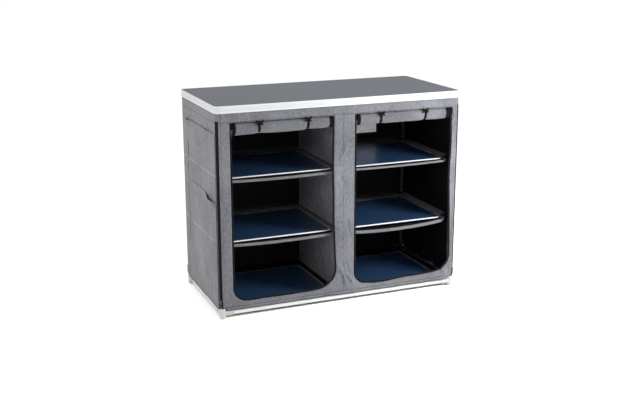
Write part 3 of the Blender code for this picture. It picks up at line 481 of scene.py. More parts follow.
def slack(u, v, seed, depth):
    """The soft unevenness of stretched cloth, in metres."""
    broad = ripple(u, v, 0.11, 0.17, seed)
    small = ripple(u, v, 0.035, 0.055, seed + 9)
    fine = ripple(u, v, 0.011, 0.017, seed + 17)
    return depth * (0.62 * broad + 0.28 * small + 0.10 * fine)


GATHER_PITCH, GATHER_REACH = 0.011, 0.008


def pucker(along, away):
    """The gathers beside a seam, from -1 to 1."""
    turn = math.tau * along / GATHER_PITCH
    return np.sin(turn + 1.7 * np.sin(turn / 5.3)) * np.exp(-away / GATHER_REACH)


def unit(vectors):
    return vectors / np.linalg.norm(vectors, axis=1, keepdims=True)


def arc(x, y, radius, first, last, steps=14):
    turns = np.radians(np.linspace(first, last, steps + 1))
    return [(x + radius * math.cos(a), y + radius * math.sin(a)) for a in turns]


def rectangle(x0, y0, x1, y1):
    return [(x0, y0), (x1, y0), (x1, y1), (x0, y1)]


def resample(loop, spacing, closed=True):
    """The same outline, with points about as far apart as asked."""
    ends = loop[1:] + loop[:1] if closed else loop[1:]
    points = []
    for (x0, y0), (x1, y1) in zip(loop, ends):
        steps = max(1, round(math.dist((x0, y0), (x1, y1)) / spacing))
        points += [(x0 + (x1 - x0) * s / steps, y0 + (y1 - y0) * s / steps) for s in range(steps)]
    return points if closed else points + [loop[-1]]


def inside(points, loop):
    """Which points lie inside a closed outline."""
    x, y = points[:, 0], points[:, 1]
    hit = np.zeros(len(points), bool)
    for (x0, y0), (x1, y1) in zip(loop, loop[1:] + loop[:1]):
        if y0 != y1:
            hit ^= ((y0 > y) != (y1 > y)) & (x < x0 + (y - y0) * (x1 - x0) / (y1 - y0))
    return hit


def flat_sheet(loops, spacing):
    """Points and triangles of a sheet inside the first outline and outside the others."""
    rings = [resample(loop, spacing) for loop in loops]
    edges, start = [], 0
    for ring in rings:
        edges += [(start + i, start + (i + 1) % len(ring)) for i in range(len(ring))]
        start += len(ring)
    rim = np.array([point for ring in rings for point in ring])
    low, high = rim.min(0), rim.max(0)
    rows = np.arange(low[1], high[1], spacing * 0.87)
    columns = np.arange(low[0], high[0], spacing)
    shift = np.where(np.arange(len(rows)) % 2, spacing / 2, 0.0)
    lattice = np.column_stack(
        ((columns[None, :] + shift[:, None]).ravel(), np.repeat(rows, len(columns)))
    )

    def on_cloth(points):
        kept = inside(points, rings[0])
        for hole in rings[1:]:
            kept &= ~inside(points, hole)
        return kept

    lattice = lattice[on_cloth(lattice)]
    nearest = np.array([((rim - point) ** 2).sum(1).min() for point in lattice])
    lattice = lattice[nearest > (0.55 * spacing) ** 2]
    points = [Vector(point) for point in np.vstack((rim, lattice))]
    points, _, faces, *_ = delaunay_2d_cdt(points, edges, [], 0, 1e-7)
    points = np.array(points)
    centres = np.array([points[list(face)].mean(0) for face in faces])
    return points, [tuple(face) for face, kept in zip(faces, on_cloth(centres)) if kept]


def piece(name, points, faces, looks, smooth=True):
    """A shown mesh that rides on the frame."""
    mesh = bpy.data.meshes.new(name)
    mesh.from_pydata([tuple(map(float, p)) for p in points], [], faces)
    for look in looks:
        mesh.materials.append(look)
    if smooth:
        mesh.shade_smooth()
    made = bpy.data.objects.new(name, mesh)
    bpy.context.scene.collection.objects.link(made)
    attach(made, BODY)
    return made


def thicken(made, thickness, inner=0, offset=-1.0):
    """Thickness under the sheet's outer face; inner is the material of its other face."""
    solid = made.modifiers.new("thickness", "SOLIDIFY")
    solid.thickness = thickness
    solid.offset = offset
    solid.use_even_offset = False
    solid.material_offset = solid.material_offset_rim = inner
    return made


def grid_faces(rows, columns, closed=False):
    """Quads over a grid of points that is stored row by row."""
    across = columns if closed else columns - 1
    faces = []
    for start in range(0, (rows - 1) * columns, columns):
        for here in range(across):
            beside = (here + 1) % columns
            faces.append((start + here, start + beside, start + columns + beside, start + columns + here))
    return faces


def blocks(name, centres, along, across, out, halves, look):
    """Many small blocks as one piece; each has its own middle, and its own directions or a shared one."""
    signs = [(x, y, z) for z in (-1, 1) for y in (-1, 1) for x in (-1, 1)]
    centres, along, across, out = (np.asarray(a, float).reshape(-1, 3) for a in (centres, along, across, out))
    corners = [
        centres + x * halves[0] * along + y * halves[1] * across + z * halves[2] * out
        for x, y, z in signs
    ]
    points = np.stack(corners, 1).reshape(-1, 3)
    quads = [(0, 2, 3, 1), (4, 5, 7, 6), (0, 1, 5, 4), (2, 6, 7, 3), (0, 4, 6, 2), (1, 3, 7, 5)]
    faces = [tuple(8 * i + q for q in quad) for i in range(len(centres)) for quad in quads]
    return piece(name, points, faces, [look], smooth=False)


# Cover


def on_cover(u, v, w, half, outset, turn):
    """Places on one side of the cover: flat between the legs' axes and round them beyond, w outwards."""
    bend = np.clip((np.abs(u) - half) / COVER_R, 0, None)
    across = np.sign(u) * (np.minimum(np.abs(u), half) + (COVER_R + w) * np.sin(bend))
    out = outset - COVER_R + (COVER_R + w) * np.cos(bend)
    c, s = math.cos(math.radians(turn)), math.sin(math.radians(turn))
    return np.column_stack((c * across + s * out, s * across - c * out, v))


def panel_loop(half, band=0.0):
    """A panel's outline, notched round the feet; band is how far its top turns the corners."""
    notch, flap = half - FOOT_NOTCH, half + FLAP
    right = [(notch, HEM_Z), (notch, ZIP_LOW), (flap, ZIP_LOW + NOTCH_LIFT), (flap, ZIP_HIGH + GAP)]
    if band:
        right += [(half + band, ZIP_HIGH + GAP), (half + band, BAND_TOP - GAP)]
    else:
        right += [(half - GAP, ZIP_HIGH + GAP), (half - GAP, BAND_TOP)]
    return right + [(-x, z) for x, z in reversed(right)]


def zip_open(z):
    """How far a corner zip stands open: 0 above its slider, 1 at its lower end."""
    return ease((ZIP_OPEN_HIGH - z) / (ZIP_OPEN_HIGH - ZIP_LOW))


def drawn_back(u, v, half):
    """The flaps beside a corner zip, drawn back where it stands open."""
    beyond = np.clip(np.abs(u) - half, 0, None)
    return u - np.sign(u) * beyond * FLAP_DRAW * zip_open(v) * (v < ZIP_HIGH)


def door_loop(side, inset=0.0, top=DOOR_TOP):
    """A door opening's outline: straight sides, round lower corners."""
    x0, x1 = sorted((side * DOOR_X0, side * DOOR_X1))
    x0, x1, low = x0 + inset, x1 - inset, DOOR_LOW + inset
    radius, tight = DOOR_CORNER_R - inset, DOOR_TIGHT_R - inset
    loop = [(x1, top), *arc(x1 - radius, low + radius, radius, 0, -90)]
    return loop + [*arc(x0 + tight, low + tight, tight, -90, -180), (x0, top)]


# How far the cloth has slid at each door's right-hand edge, and how much further low down
SLID = {-1: 0.010, 1: 0.019}
SLID_LOW = 0.010

# Places across the front, and how far the cloth under the doors has sagged there
SAGGED_AT = [-0.44, -0.38, -0.16, -0.06, 0.06, 0.13, 0.18, 0.27, 0.40]
SAGGED_BY = [0, 0.008, 0.007, 0, 0, 0.010, 0.009, 0.002, 0]


def front_shift(u, v):
    """How far the front's cloth has slid along: the doors' right-hand edges stand over, most low down."""
    low = SLID_LOW * ease((0.42 - v) / 0.28)
    edges = [-CORNER_X, -DOOR_X1, -DOOR_X0, DOOR_X0, DOOR_X1, CORNER_X]
    share = np.interp(u, edges, [0, 0, 1, 0, 1, 0])
    moved = np.interp(u, edges, [0, 0, SLID[-1], 0, SLID[1], 0]) + share * low
    return u + moved * ease((v - HEM_Z) / 0.05) * ease((BAND_TOP - v) / 0.035)


def front_drop(u, v):
    """How far the cloth under the doors has sagged, so that their lower edges run unevenly."""
    drop = np.interp(u, SAGGED_AT, SAGGED_BY)
    return v - drop * np.exp(-(((v - DOOR_LOW) / 0.028) ** 2)) * ease((v - HEM_Z) / 0.02)


FRONT_SLACK, SIDE_SLACK, REAR_SLACK = 0.0034, 0.0022, 0.0024
HEM_GATHERS, SIDE_GATHERS = 0.0005, 0.0003
EDGE_WAVE, LOW_WAVE = 0.0022, 0.0018
DEEPEST, DEEPEST_BAND = -0.0028, -0.0003  # the frame and the divider are behind


def front_relief(u, v):
    """How far the front stands proud of its plane; none beside a door slider's track."""
    depth = slack(u, v, 3.0, FRONT_SLACK) + CREASED * creased(u, v, FRONT_CREASES)
    depth += HEM_GATHERS * pucker(u, v - HEM_Z) + SIDE_GATHERS * pucker(v, CORNER_X - np.abs(u))
    for side in (-1, 1):
        left, right = sorted((side * DOOR_X0, side * DOOR_X1))
        near = np.exp(-(((u - right) / 0.03) ** 2)) * ease((0.70 - v) / 0.1)
        depth += near * EDGE_WAVE * np.sin(v * 21 + side)
        low = np.exp(-(((v - DOOR_LOW) / 0.025) ** 2)) * ease((DOOR_X1 - np.abs(u)) / 0.05)
        depth += low * LOW_WAVE * np.sin(u * (34 + 9 * side))
        track = ease((v - TRACK_LOW + 0.04) / 0.04)
        depth *= 1 - track * (1 - ease((np.abs(u - left) - 0.011) / 0.02))
    depth = np.maximum(depth, np.where(v > DOOR_TOP - 0.005, DEEPEST_BAND, DEEPEST))
    return depth * ease((CORNER_X - np.abs(u)) / 0.02) * ease((BAND_TOP - v) / 0.015)


CREASED = 2.6  # of the heights below

# Lines of pulled cloth on the front
FRONT_CREASES = [
    ((-0.038, 0.225), (0.004, 0.118), 0.0045, -0.0030),
    ((-0.044, 0.165), (0.012, 0.070), 0.0050, 0.0028),
    ((-0.010, 0.200), (0.030, 0.100), 0.0040, -0.0024),
    ((-0.036, 0.300), (-0.008, 0.225), 0.0045, -0.0022),
    ((0.012, 0.345), (0.034, 0.250), 0.0045, -0.0020),
    ((-0.020, 0.130), (0.000, 0.045), 0.0035, -0.0030),
    ((0.006, 0.118), (0.046, 0.075), 0.0045, 0.0025),
    ((-0.060, 0.062), (0.040, 0.045), 0.0040, -0.0022),
    ((-0.030, 0.520), (0.020, 0.440), 0.0060, -0.0014),
    ((0.020, 0.640), (-0.024, 0.560), 0.0060, 0.0014),
    ((0.446, 0.742), (0.476, 0.690), 0.0045, 0.0022),
    ((0.452, 0.748), (0.482, 0.728), 0.0035, -0.0018),
    ((0.392, 0.090), (0.446, 0.058), 0.0040, 0.0024),
    ((0.420, 0.105), (0.470, 0.050), 0.0045, -0.0020),
    ((-0.490, 0.180), (-0.455, 0.120), 0.0050, -0.0014),
    ((-0.480, 0.500), (-0.452, 0.420), 0.0060, 0.0012),
    ((-0.360, 0.772), (-0.325, 0.748), 0.0040, 0.0016),
    ((-0.300, 0.774), (-0.330, 0.750), 0.0030, -0.0014),
    ((-0.190, 0.774), (-0.160, 0.750), 0.0040, 0.0018),
    ((-0.130, 0.772), (-0.152, 0.750), 0.0030, -0.0014),
    ((0.120, 0.772), (0.150, 0.750), 0.0040, 0.0016),
    ((0.300, 0.774), (0.336, 0.750), 0.0040, 0.0018),
    ((0.372, 0.772), (0.345, 0.750), 0.0030, -0.0014),
]


def held(u, v, reach):
    """1 where a side is free, falling to 0 at the corners and under the band."""
    return ease((reach - np.abs(u)) / 0.03) * ease((BAND_TOP - 0.034 - v) / 0.02)


def side_relief(u, v, seed, creases):
    """Soft fullness between the corners of a plain side."""
    full = 0.0012 * np.sin(math.pi * np.clip((v - HEM_Z) / 0.70, 0, 1))
    depth = full + slack(u, v, seed, SIDE_SLACK) + 0.0004 * pucker(u, v - HEM_Z)
    return (depth + creased(u, v, creases)) * held(u, v, CORNER_Y)


def rear_relief(u, v):
    window = ease(np.maximum(np.abs(u + WINDOW_MIDDLE) - 0.12, np.abs(v - 0.625) - 0.065) / 0.03)
    depth = slack(u, v, 41.0, REAR_SLACK) + 0.0004 * pucker(u, v - HEM_Z)
    return depth * held(u, v, CORNER_X) * window


SIDE_CREASES = {
    "left": [
        ((-0.16, 0.69), (0.10, 0.60), 0.012, -0.0010),
        ((-0.18, 0.36), (0.02, 0.30), 0.010, 0.0010),
    ],
    "right": [
        ((-0.15, 0.66), (0.12, 0.58), 0.012, -0.0012),
        ((-0.12, 0.24), (0.16, 0.34), 0.014, 0.0014),
        ((0.02, 0.47), (0.17, 0.40), 0.010, -0.0012),
    ],
}


def shaped(loops, relief, half, outset, turn, spacing=SPACING):
    points, faces = flat_sheet(loops, spacing)
    u, v = points[:, 0], points[:, 1]
    return on_cover(drawn_back(u, v, half), v, relief(u, v), half, outset, turn), faces


def on_front(u, v, lift=0.0):
    """Places on the front of the cover, which has slid and sagged."""
    across = drawn_back(front_shift(u, v), v, CORNER_X)
    return on_cover(across, front_drop(u, v), front_relief(u, v) + lift, CORNER_X, COVER_Y, 0)


def cover():
    high = BAND_TOP - HEM_Z
    band = COVER_R * math.pi / 2 - GAP
    loops = [panel_loop(CORNER_X), door_loop(-1), door_loop(1)]
    points, faces = flat_sheet(loops, SPACING)
    front = thicken(piece("cover_front", on_front(*points.T), faces, [FRONT_COVER, INSIDE]), CLOTH, 1)
    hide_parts("front_panel")
    hardware = door_zips() + [stitching("stitching_front", front_seams())]
    wide = 2 * CORNER_X
    strips = high - (DOOR_TOP - DOOR_LOW)  # the band and the hem, then the stiles beside them
    strips += wide - 2 * (DOOR_X1 - DOOR_X0)

    window = rectangle(-WINDOW_LOW.x, WINDOW_LOW.z, -WINDOW_HIGH.x, WINDOW_HIGH.z)
    points, faces = shaped([panel_loop(CORNER_X), window], rear_relief, CORNER_X, COVER_Y, 180, 0.008)
    rear = thicken(piece("cover_rear", points, faces, [COVER, INSIDE]), CLOTH, 1)
    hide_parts("rear_panel")

    for name, side in SIDES.items():
        def relief(u, v, seed=11.0 + 7 * side, creases=SIDE_CREASES[name]):
            return side_relief(u, v, seed, creases)

        points, faces = shaped([panel_loop(CORNER_Y, band)], relief, CORNER_Y, COVER_X, 90 * side)
        panel = thicken(piece(f"cover_{name}", points, faces, [COVER, INSIDE]), CLOTH, 1)
        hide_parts(f"{name}_panel")
        wide = 2 * CORNER_Y


def front_seams():
    """Rows of stitches on the front: the band, the hem and round both openings."""
    reach = CORNER_X - 0.016
    rows = [[(-reach, z), (reach, z)] for z in (SEAM_HIGH - 0.003, SEAM_LOW)]
    return rows + [door_loop(side, -0.0045) for side in (-1, 1)]


STITCH_PITCH, STITCH_SHARE, STITCH_LIFT = 0.0036, 0.66, 0.0001
STITCH_HALVES = (0.0003, 0.0002)  # across it and out of the cloth


def stitching(name, rows):
    """Stitches along rows of points on the front of the cover."""
    starts, ends = [], []
    for row in rows:
        path = np.array(resample(row, STITCH_PITCH, closed=False))
        starts.append(path[:-1])
        ends.append(path[:-1] + (path[1:] - path[:-1]) * STITCH_SHARE)
    a, b = (on_front(*np.vstack(places).T, STITCH_LIFT) for places in (starts, ends))
    along = unit(b - a)
    halves = (np.linalg.norm(b - a, axis=1, keepdims=True) / 2, *STITCH_HALVES)
    made = blocks(name, (a + b) / 2, along, np.cross(along, FORWARD), FORWARD, halves, THREAD)
    return made


# Zips


TEETH_IN, DOOR_TOOTH_PITCH, CORNER_TOOTH_PITCH = 0.0062, 0.0018, 0.0019
DOOR_TOOTH = (0.0006, 0.001, 0.001)  # half sizes
CORNER_TOOTH = (0.0011, 0.0007, 0.0006)
ROLL_TOOTH = (0.0007, 0.0012, 0.0007)
CORNER_TAPE = 0.0009  # thickness
TAPE_START, TAPE_END = 0.4, 44.0  # angles of a tape's edges, from the corner's diagonal
FLARE = 0.0008  # of the open tapes, outwards


def door_zips():
    """Zip tape with a row of teeth, sewn inside each door opening."""
    made = []
    for name, side in SIDES.items():
        loop = door_loop(side, -TAPE_SEWN, DOOR_TOP + TAPE_SEWN)
        loop += door_loop(side, TAPE_WIDTH, DOOR_TOP + TAPE_SEWN)[::-1]
        points, faces = flat_sheet([loop], 0.0035)
        u, v = points[:, 0], points[:, 1]
        places = on_front(u, v, (TAPE_THICK - CLOTH) / 2)
        tape = thicken(piece(f"door_zip_tape_{name}", places, faces, [BLACK_WEB]), TAPE_THICK)
        path = resample(door_loop(side, TEETH_IN, DOOR_TOP - TAPE_SEWN), DOOR_TOOTH_PITCH, closed=False)
        path = np.array(path)
        along = unit(np.gradient(path, axis=0))
        along = np.column_stack((along[:, 0], np.zeros(len(path)), along[:, 1]))
        centres, across = on_front(*path.T, -CLOTH / 2), np.cross(along, FORWARD)
        teeth = blocks(f"door_zip_teeth_{name}", centres, along, across, FORWARD, DOOR_TOOTH, ZIP_TEETH)
        made += [tape, teeth]
    return made


def corner_place(sx, sy, angle, radius, z):
    """Places round a leg's axis; the angle is from the corner's diagonal."""
    turn = math.atan2(sy, sx) + np.radians(angle)
    x, y = sx * CORNER_X + radius * np.cos(turn), sy * CORNER_Y + radius * np.sin(turn)
    return np.column_stack((x, y, z + 0 * turn))


def corner_zip(corner, sx, sy):
    """Two tapes round a corner of the cover, and their teeth."""
    heights = np.linspace(ZIP_LOW, ZIP_HIGH, 200)
    columns = 7
    points, faces = [], []
    for half in (-1, 1):
        start = len(points)
        for z in heights:
            wide = zip_open(z)
            flap = math.degrees(FLAP / COVER_R) * (1 - FLAP_DRAW * wide)
            angles = half * np.linspace(ZIP_OPEN_ANGLE * wide + TAPE_START, TAPE_END - flap, columns)
            flare = FLARE * wide * np.linspace(1, 0, columns)
            points += list(corner_place(sx, sy, angles, COVER_R - 0.0002 + flare, z))
        quads = grid_faces(len(heights), columns)
        faces += [tuple(start + i for i in (quad if half > 0 else quad[::-1])) for quad in quads]
    tape = thicken(piece(f"corner_zip_{corner}_tape", points, faces, [BLACK_WEB]), CORNER_TAPE)
    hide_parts(f"corner_zip_{corner}")
    centres, along, across = [], [], []
    for index, z in enumerate(np.arange(ZIP_LOW + 0.001, ZIP_HIGH - 0.001, CORNER_TOOTH_PITCH)):
        half = 1 if index % 2 else -1
        angle = half * (ZIP_OPEN_ANGLE * zip_open(z) + TOOTH_HALF_ANGLE * 0.42)
        radius = COVER_R + 0.0003 + FLARE * zip_open(z)
        centres.append(corner_place(sx, sy, np.array([angle]), radius, z)[0])
        turn = math.atan2(sy, sx) + math.radians(angle)
        across.append((math.cos(turn), math.sin(turn), 0))
        along.append((-math.sin(turn), math.cos(turn), 0))
    title, up = f"corner_zip_{corner}_teeth", (0.0, 0.0, 1.0)
    teeth = blocks(title, centres, along, up, across, CORNER_TOOTH, ZIP_TEETH)


# Doors

ROLL_LOW, ROLL_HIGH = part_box("door_roll_right")
ROLL_R = 0.0228
ROLL_HALF = (ROLL_HIGH.x - ROLL_LOW.x) / 2
ROLL_Z = DOOR_TOP - GAP - ROLL_R
ROLL_PITCH, ROLL_TURNS = 0.0025, 6.5
TIE_PITCH = 0.0034  # a tie comes in by this much in one turn
ROLL_Y = -0.21085
ROLL_TAPE = 0.011
ROLL_CLOTH = 0.0009
ROLL_FORWARD = 0.0022  # of the roll's far end, pushed out over the zip
ROLL_OVER = 0.018  # of a rolled door to the right, beyond the CAD's roll
TIE_X = 0.094
TIE_SLID = {-1: 0.009, 1: 0.005}


# How far a roll's cloth strays from a plain spiral
ROLL_WAVE, ROLL_FOLDS, TIE_PINCH, EDGE_TUCK = 0.0010, 0.00035, 0.0006, 0.0034
ROLL_SAG, LEFT_ROLL_SAG = 0.0016, 0.0044


def roll_section(x, side):
    """A rolled door's section at a place along it, as (y, z) points from the seam inwards."""
    tied = sum(np.exp(-(((x - way * TIE_X - TIE_SLID[side]) / 0.016) ** 2)) for way in (-1, 1))
    wave = noise.noise((x / 0.05, side * 3.0, 0.5)) + 0.5 * noise.noise((x / 0.018, side * 5.0, 2.5))
    angles = np.linspace(90.0, 90.0 - 360.0 * ROLL_TURNS, int(30 * ROLL_TURNS))
    turn = np.radians(angles)
    folds = [noise.noise((x / 0.03 + 2 * math.cos(t), 2 * math.sin(t), side)) for t in turn]
    loose = ROLL_WAVE * wave * (1 - 0.6 * tied) - TIE_PINCH * tied + ROLL_FOLDS * np.array(folds)
    radius = ROLL_R - ROLL_PITCH * (90 - angles) / 360
    radius += loose * (radius / ROLL_R) ** 2 + EDGE_TUCK * np.exp(-(((angles + 222) / 30) ** 2))
    full = LEFT_ROLL_SAG if side < 0 and x < 0.1 else ROLL_SAG
    sag = full * (1 - 0.6 * min(tied, 1.0)) * (1 - np.sin(turn)) / 2 * (radius / ROLL_R)
    y, z = ROLL_Y + radius * np.cos(turn), ROLL_Z + radius * np.sin(turn) - sag
    flap = [(-COVER_Y - 0.0002, z[0] - 0.0002), ((ROLL_Y - COVER_Y) / 2, z[0] + 0.0001)]
    return flap + list(zip(y, z))


def door_roll(name, side):
    """A door rolled up under the band, with its zip tape showing at both ends of the roll."""
    middle = side * DOOR_MIDDLE
    ends = [ROLL_HALF - ROLL_TAPE, ROLL_HALF - ROLL_TAPE / 2, ROLL_HALF]
    columns = np.concatenate(([-e for e in ends[::-1]], np.linspace(-ends[0], ends[0], 60)[1:-1], ends))
    columns[-10:] += ROLL_OVER * np.linspace(0.1, 1, 10)
    points = []
    for x, forward in zip(columns, ROLL_FORWARD * ease((columns - ROLL_HALF - 0.004) / 0.010)):
        points.append([(middle + x, y - forward, z) for y, z in roll_section(x, side)])
    rows = len(points[0])
    points = [section[row] for row in range(rows) for section in points]
    looks = [DOOR, INSIDE, BLACK_WEB, BLACK_WEB]
    roll = thicken(piece(f"rolled_door_{name}", points, grid_faces(rows, len(columns)), looks), ROLL_CLOTH, 1)
    for index, face in enumerate(roll.data.polygons):
        column = index % (len(columns) - 1)
        if column < 2 or column >= len(columns) - 3:
            face.material_index = 2
    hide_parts(f"door_roll_{name}")
    roll_teeth(name, side)


def roll_teeth(name, side):
    """The teeth along a door's own tape, wound up with it at both ends of the roll."""
    centres, along, out = [], [], []
    for end in (-1, 1):
        reach = end * ROLL_HALF + max(end, 0) * ROLL_OVER
        section = roll_section(reach, side)[2:]
        for (y0, z0), (y1, z1) in zip(section[::2], section[1::2]):
            step = Vector((0, y1 - y0, z1 - z0)).normalized()
            x, y = side * DOOR_MIDDLE + reach + end * 0.0004, (y0 + y1) / 2 - ROLL_FORWARD * (end > 0)
            centres.append((x, y, (z0 + z1) / 2))
            along.append(step)
            out.append((0, -step.z, step.y))
    made = blocks(f"rolled_door_teeth_{name}", centres, along, (1.0, 0.0, 0.0), out, ROLL_TOOTH, ZIP_TEETH)
    return made


def ribbon(name, path, out, width, thickness, look):
    """A band of webbing along a path; out is the way its face looks at each point."""
    path, out = np.array(path, float), np.array(out, float)
    across = unit(np.cross(unit(np.gradient(path, axis=0)), out))
    columns = np.linspace(-width / 2, width / 2, 4)
    crown = 0.0003 * (1 - (columns / (width / 2)) ** 2)
    points = [p + c * a + h * o for p, a, o in zip(path, across, out) for c, h in zip(columns, crown)]
    made = piece(name, points, grid_faces(len(path), len(columns)), [look])
    return thicken(made, thickness, offset=0.0)


STRAP_WIDTH, STRAP_THICK, STRAP_LEAN = 0.0105, 0.0008, 0.0025
END_WIDTH, END_THICK = 0.0062, 0.0010
KNOT_Z = 0.7380
KNOT_HALVES = (0.0042, 0.0017, 0.0046)

# The ends of a tie's bow: way across, way up, and how far it reaches each way
BOW = [(-1, 1, 0.0155, 0.0060), (1, 1, 0.0140, 0.0062), (-1, -1, 0.0125, 0.0085), (1, -1, 0.0110, 0.0090)]


def door_tie(name, side, way):
    """A webbing tie round the roll, knotted on the front of the band."""
    x = side * DOOR_MIDDLE + way * TIE_X + TIE_SLID[side]
    turns = np.radians(np.linspace(85, -176, 34))
    out = [(0, math.cos(t), math.sin(t)) for t in turns]
    ring = []
    for t, (_, y, z) in zip(turns, out):
        radius = ROLL_R + 0.0006 - TIE_PITCH * (90 - math.degrees(t)) / 360
        ring.append((x, ROLL_Y + radius * y, ROLL_Z + radius * z))
    front = ring[-1][1] - 0.0002
    rise = np.linspace(ring[-1][2] + 0.004, KNOT_Z, 8)
    ring += [(x, front, z) for z in rise]
    out += [FORWARD] * len(rise)
    title = f"door_tie_{name}_{'left' if way < 0 else 'right'}"
    lean = np.linspace(-STRAP_LEAN, STRAP_LEAN, len(ring)) * way
    ring = [(px + shift, py, pz) for (px, py, pz), shift in zip(ring, lean)]
    strap = ribbon(f"{title}_strap", ring, out, STRAP_WIDTH, STRAP_THICK, BLACK_WEB)
    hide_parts(title)
    for number, (across, up, reach, height) in enumerate(BOW):
        path = []
        for share in np.linspace(0, 1, 7):
            y = front - 0.0022 - 0.0018 * math.sin(2.4 * share)
            path.append((x + across * reach * share, y, KNOT_Z + up * height * share**1.3))
        ribbon(f"{title}_end_{number}", path, [FORWARD] * len(path), END_WIDTH, END_THICK, BLACK_WEB)
    knot(f"{title}_knot", x, front - 0.0020, KNOT_Z)


def knot(name, x, y, z):
    """The pulled lump where a tie's ends cross."""
    rings, sides = 9, 14
    wide, thick, high = KNOT_HALVES
    points = []
    for r in range(rings):
        lift = math.pi * (r + 0.5) / rings
        for c in range(sides):
            turn = math.tau * c / sides
            twist = 1 + 0.16 * math.sin(3 * turn + 4 * lift)
            across = wide * math.sin(lift) * math.cos(turn) * twist
            out = thick * math.sin(lift) * math.sin(turn)
            points.append((x + across, y - out, z + high * math.cos(lift) * twist))
    faces = grid_faces(rings, sides, closed=True)
    faces += [tuple(range(sides))[::-1], tuple(range((rings - 1) * sides, rings * sides))]
    piece(name, points, faces, [BLACK_WEB])


# Inside

SHELF_TOPS = {level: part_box(f"shelf_board_{level}_right")[1].z for level in ("upper", "lower")}
BOARD_THICK = BOARD_HIGH.z - BOARD_LOW.z
FLOOR_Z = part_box("floor_cloth")[1].z
SLING_INNER, SLING_OUTER = 0.0009, COVER_X - CLOTH - GAP
SLING_DEPTH = 0.2079
SLING_SAG, SLING_SAG_DEPTH = 0.010, 0.085
SLING_DRAWN = 0.020  # of a sling's front outer corner, back to the strap that holds it
SLING_HELD = 0.452  # where the front stops sagging, behind the side stile
SLING_SHOWN = 0.462  # beyond this the hem is behind the side stile
SLING_CLOTH = 0.0011
SLING_RISE, SLING_SEWN_RISE = 0.0085, 0.004  # at the outer wall, and at the divider and the rear
FRONT_ROLL = 0.0012  # of the front edge, down into the hem
LOOP_R, LOOP_HALF = 0.0102, 0.0072  # of the webbing on a leg: radius and half its width
SLEEVE_LOOSE = 0.0009
PIPING_HIGH, PIPING_WIDE = 0.0045, 0.006

# Each sling's hem height, and the sag of its front
HEMS = {("upper", -1): 0.0080, ("upper", 1): 0.0056, ("lower", -1): 0.0085, ("lower", 1): 0.0100}
SAGS = {("upper", -1): 0.0048, ("upper", 1): 0.0030, ("lower", -1): 0.0068, ("lower", 1): 0.0135}


def sling_height(x, y, sag=SLING_SAG):
    """Height of a sling over its flat part: raised at its sewn edges, sagging along the front."""
    outer = SLING_RISE * ease((x - BOARD_HIGH.x - 0.002) / (SLING_OUTER - BOARD_HIGH.x))
    inner = SLING_SEWN_RISE * ease((BOARD_LOW.x - x) / (BOARD_LOW.x - SLING_INNER))
    rear = SLING_SEWN_RISE * ease((y - BOARD_HIGH.y) / (SLING_DEPTH - BOARD_HIGH.y))
    raised = np.maximum(np.maximum(outer, inner), rear)
    across = np.clip((x - SLING_INNER) / (SLING_HELD - SLING_INNER), 0, 1)
    end = BOARD_LOW.y + SLING_SAG_DEPTH
    return raised - sag * (4 * across * (1 - across)) ** 0.85 * ease((end - y) / (end + SLING_DEPTH))


def sling(level, name, side):
    """A fabric sling under a board: its hem hangs in front, its sides rise to the walls."""
    flat = SHELF_TOPS[level] - BOARD_THICK - GAP
    sag, hem_height = SAGS[level, side], HEMS[level, side]
    xs = np.linspace(SLING_INNER, SLING_OUTER, 84)
    ys = np.linspace(-SLING_DEPTH, SLING_DEPTH, 66)
    hem = np.linspace(1.0, 0.0, 5)[:-1]
    seed = side * 3.1 + flat * 7
    drawn = ease((xs - 0.446) / 0.030)
    edge = flat + sling_height(xs, np.full_like(xs, -SLING_DEPTH), sag) - FRONT_ROLL
    points = []
    for share in hem:
        wave = ripple(xs, np.full_like(xs, share), 0.05, 1.0, seed)
        drop = share * hem_height * ease((xs - SLING_INNER) / 0.03 + 0.25) * (1 - 0.6 * drawn)
        y = -SLING_DEPTH + SLING_DRAWN * drawn + 0.0004 + 0.0007 * share * wave
        points += zip(side * xs, y, edge - drop)
    free = ease((xs - BOARD_HIGH.x) / 0.01) + ease((BOARD_LOW.x - xs) / 0.01)
    sewn = ease((SLING_OUTER - xs) / 0.004) * ease((xs - SLING_INNER) / 0.004)
    for y in ys:
        line = y + SLING_DRAWN * drawn * ease(-y / SLING_DEPTH)
        beyond = np.clip(free + ease((y - BOARD_HIGH.y) / 0.01), 0, 1)
        creases = ripple(xs, line, 0.02, 0.06, seed) * 0.0016
        creases += ripple(xs, line, 0.007, 0.02, seed + 2) * 0.0004
        creases *= beyond * sewn * ease((SLING_DEPTH - abs(y)) / 0.012)
        front = -0.0004 * (1 + ripple(xs, line, 0.03, 0.03, seed + 4)) * (1 - beyond)
        points += zip(side * xs, line, flat + sling_height(xs, line, sag) + creases + front)
    faces = grid_faces(len(hem) + len(ys), len(xs))
    if side < 0:
        faces = [face[::-1] for face in faces]
    made = piece(f"sling_{level}_{name}", points, faces, [SLING, HEM, INSIDE])
    # Painted shade: the first rows of the sling's top behind its hem, under the board's front and behind the
    # side stile, take the dark coated-inside material where the board's shadow falls; the hanging hem takes
    # the hem cloth
    for index, face in enumerate(made.data.polygons):
        row, column = divmod(index, len(xs) - 1)
        hidden = xs[column] > SLING_SHOWN
        hanging = row < len(hem) + 1 and xs[column] < SLING_SHOWN
        under = BOARD_LOW.x < xs[column] < BOARD_HIGH.x or hidden
        if hanging or (row < len(hem) + 6 and under):
            face.material_index = 1 if hanging else 2
    thicken(made, SLING_CLOTH)
    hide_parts(f"shelf_sling_{level}_{name}")
    for run, sy in (("front", -1), ("rear", 1)):
        leg_loop(f"sling_loop_{level}_{name}_{run}", side, sy, flat)


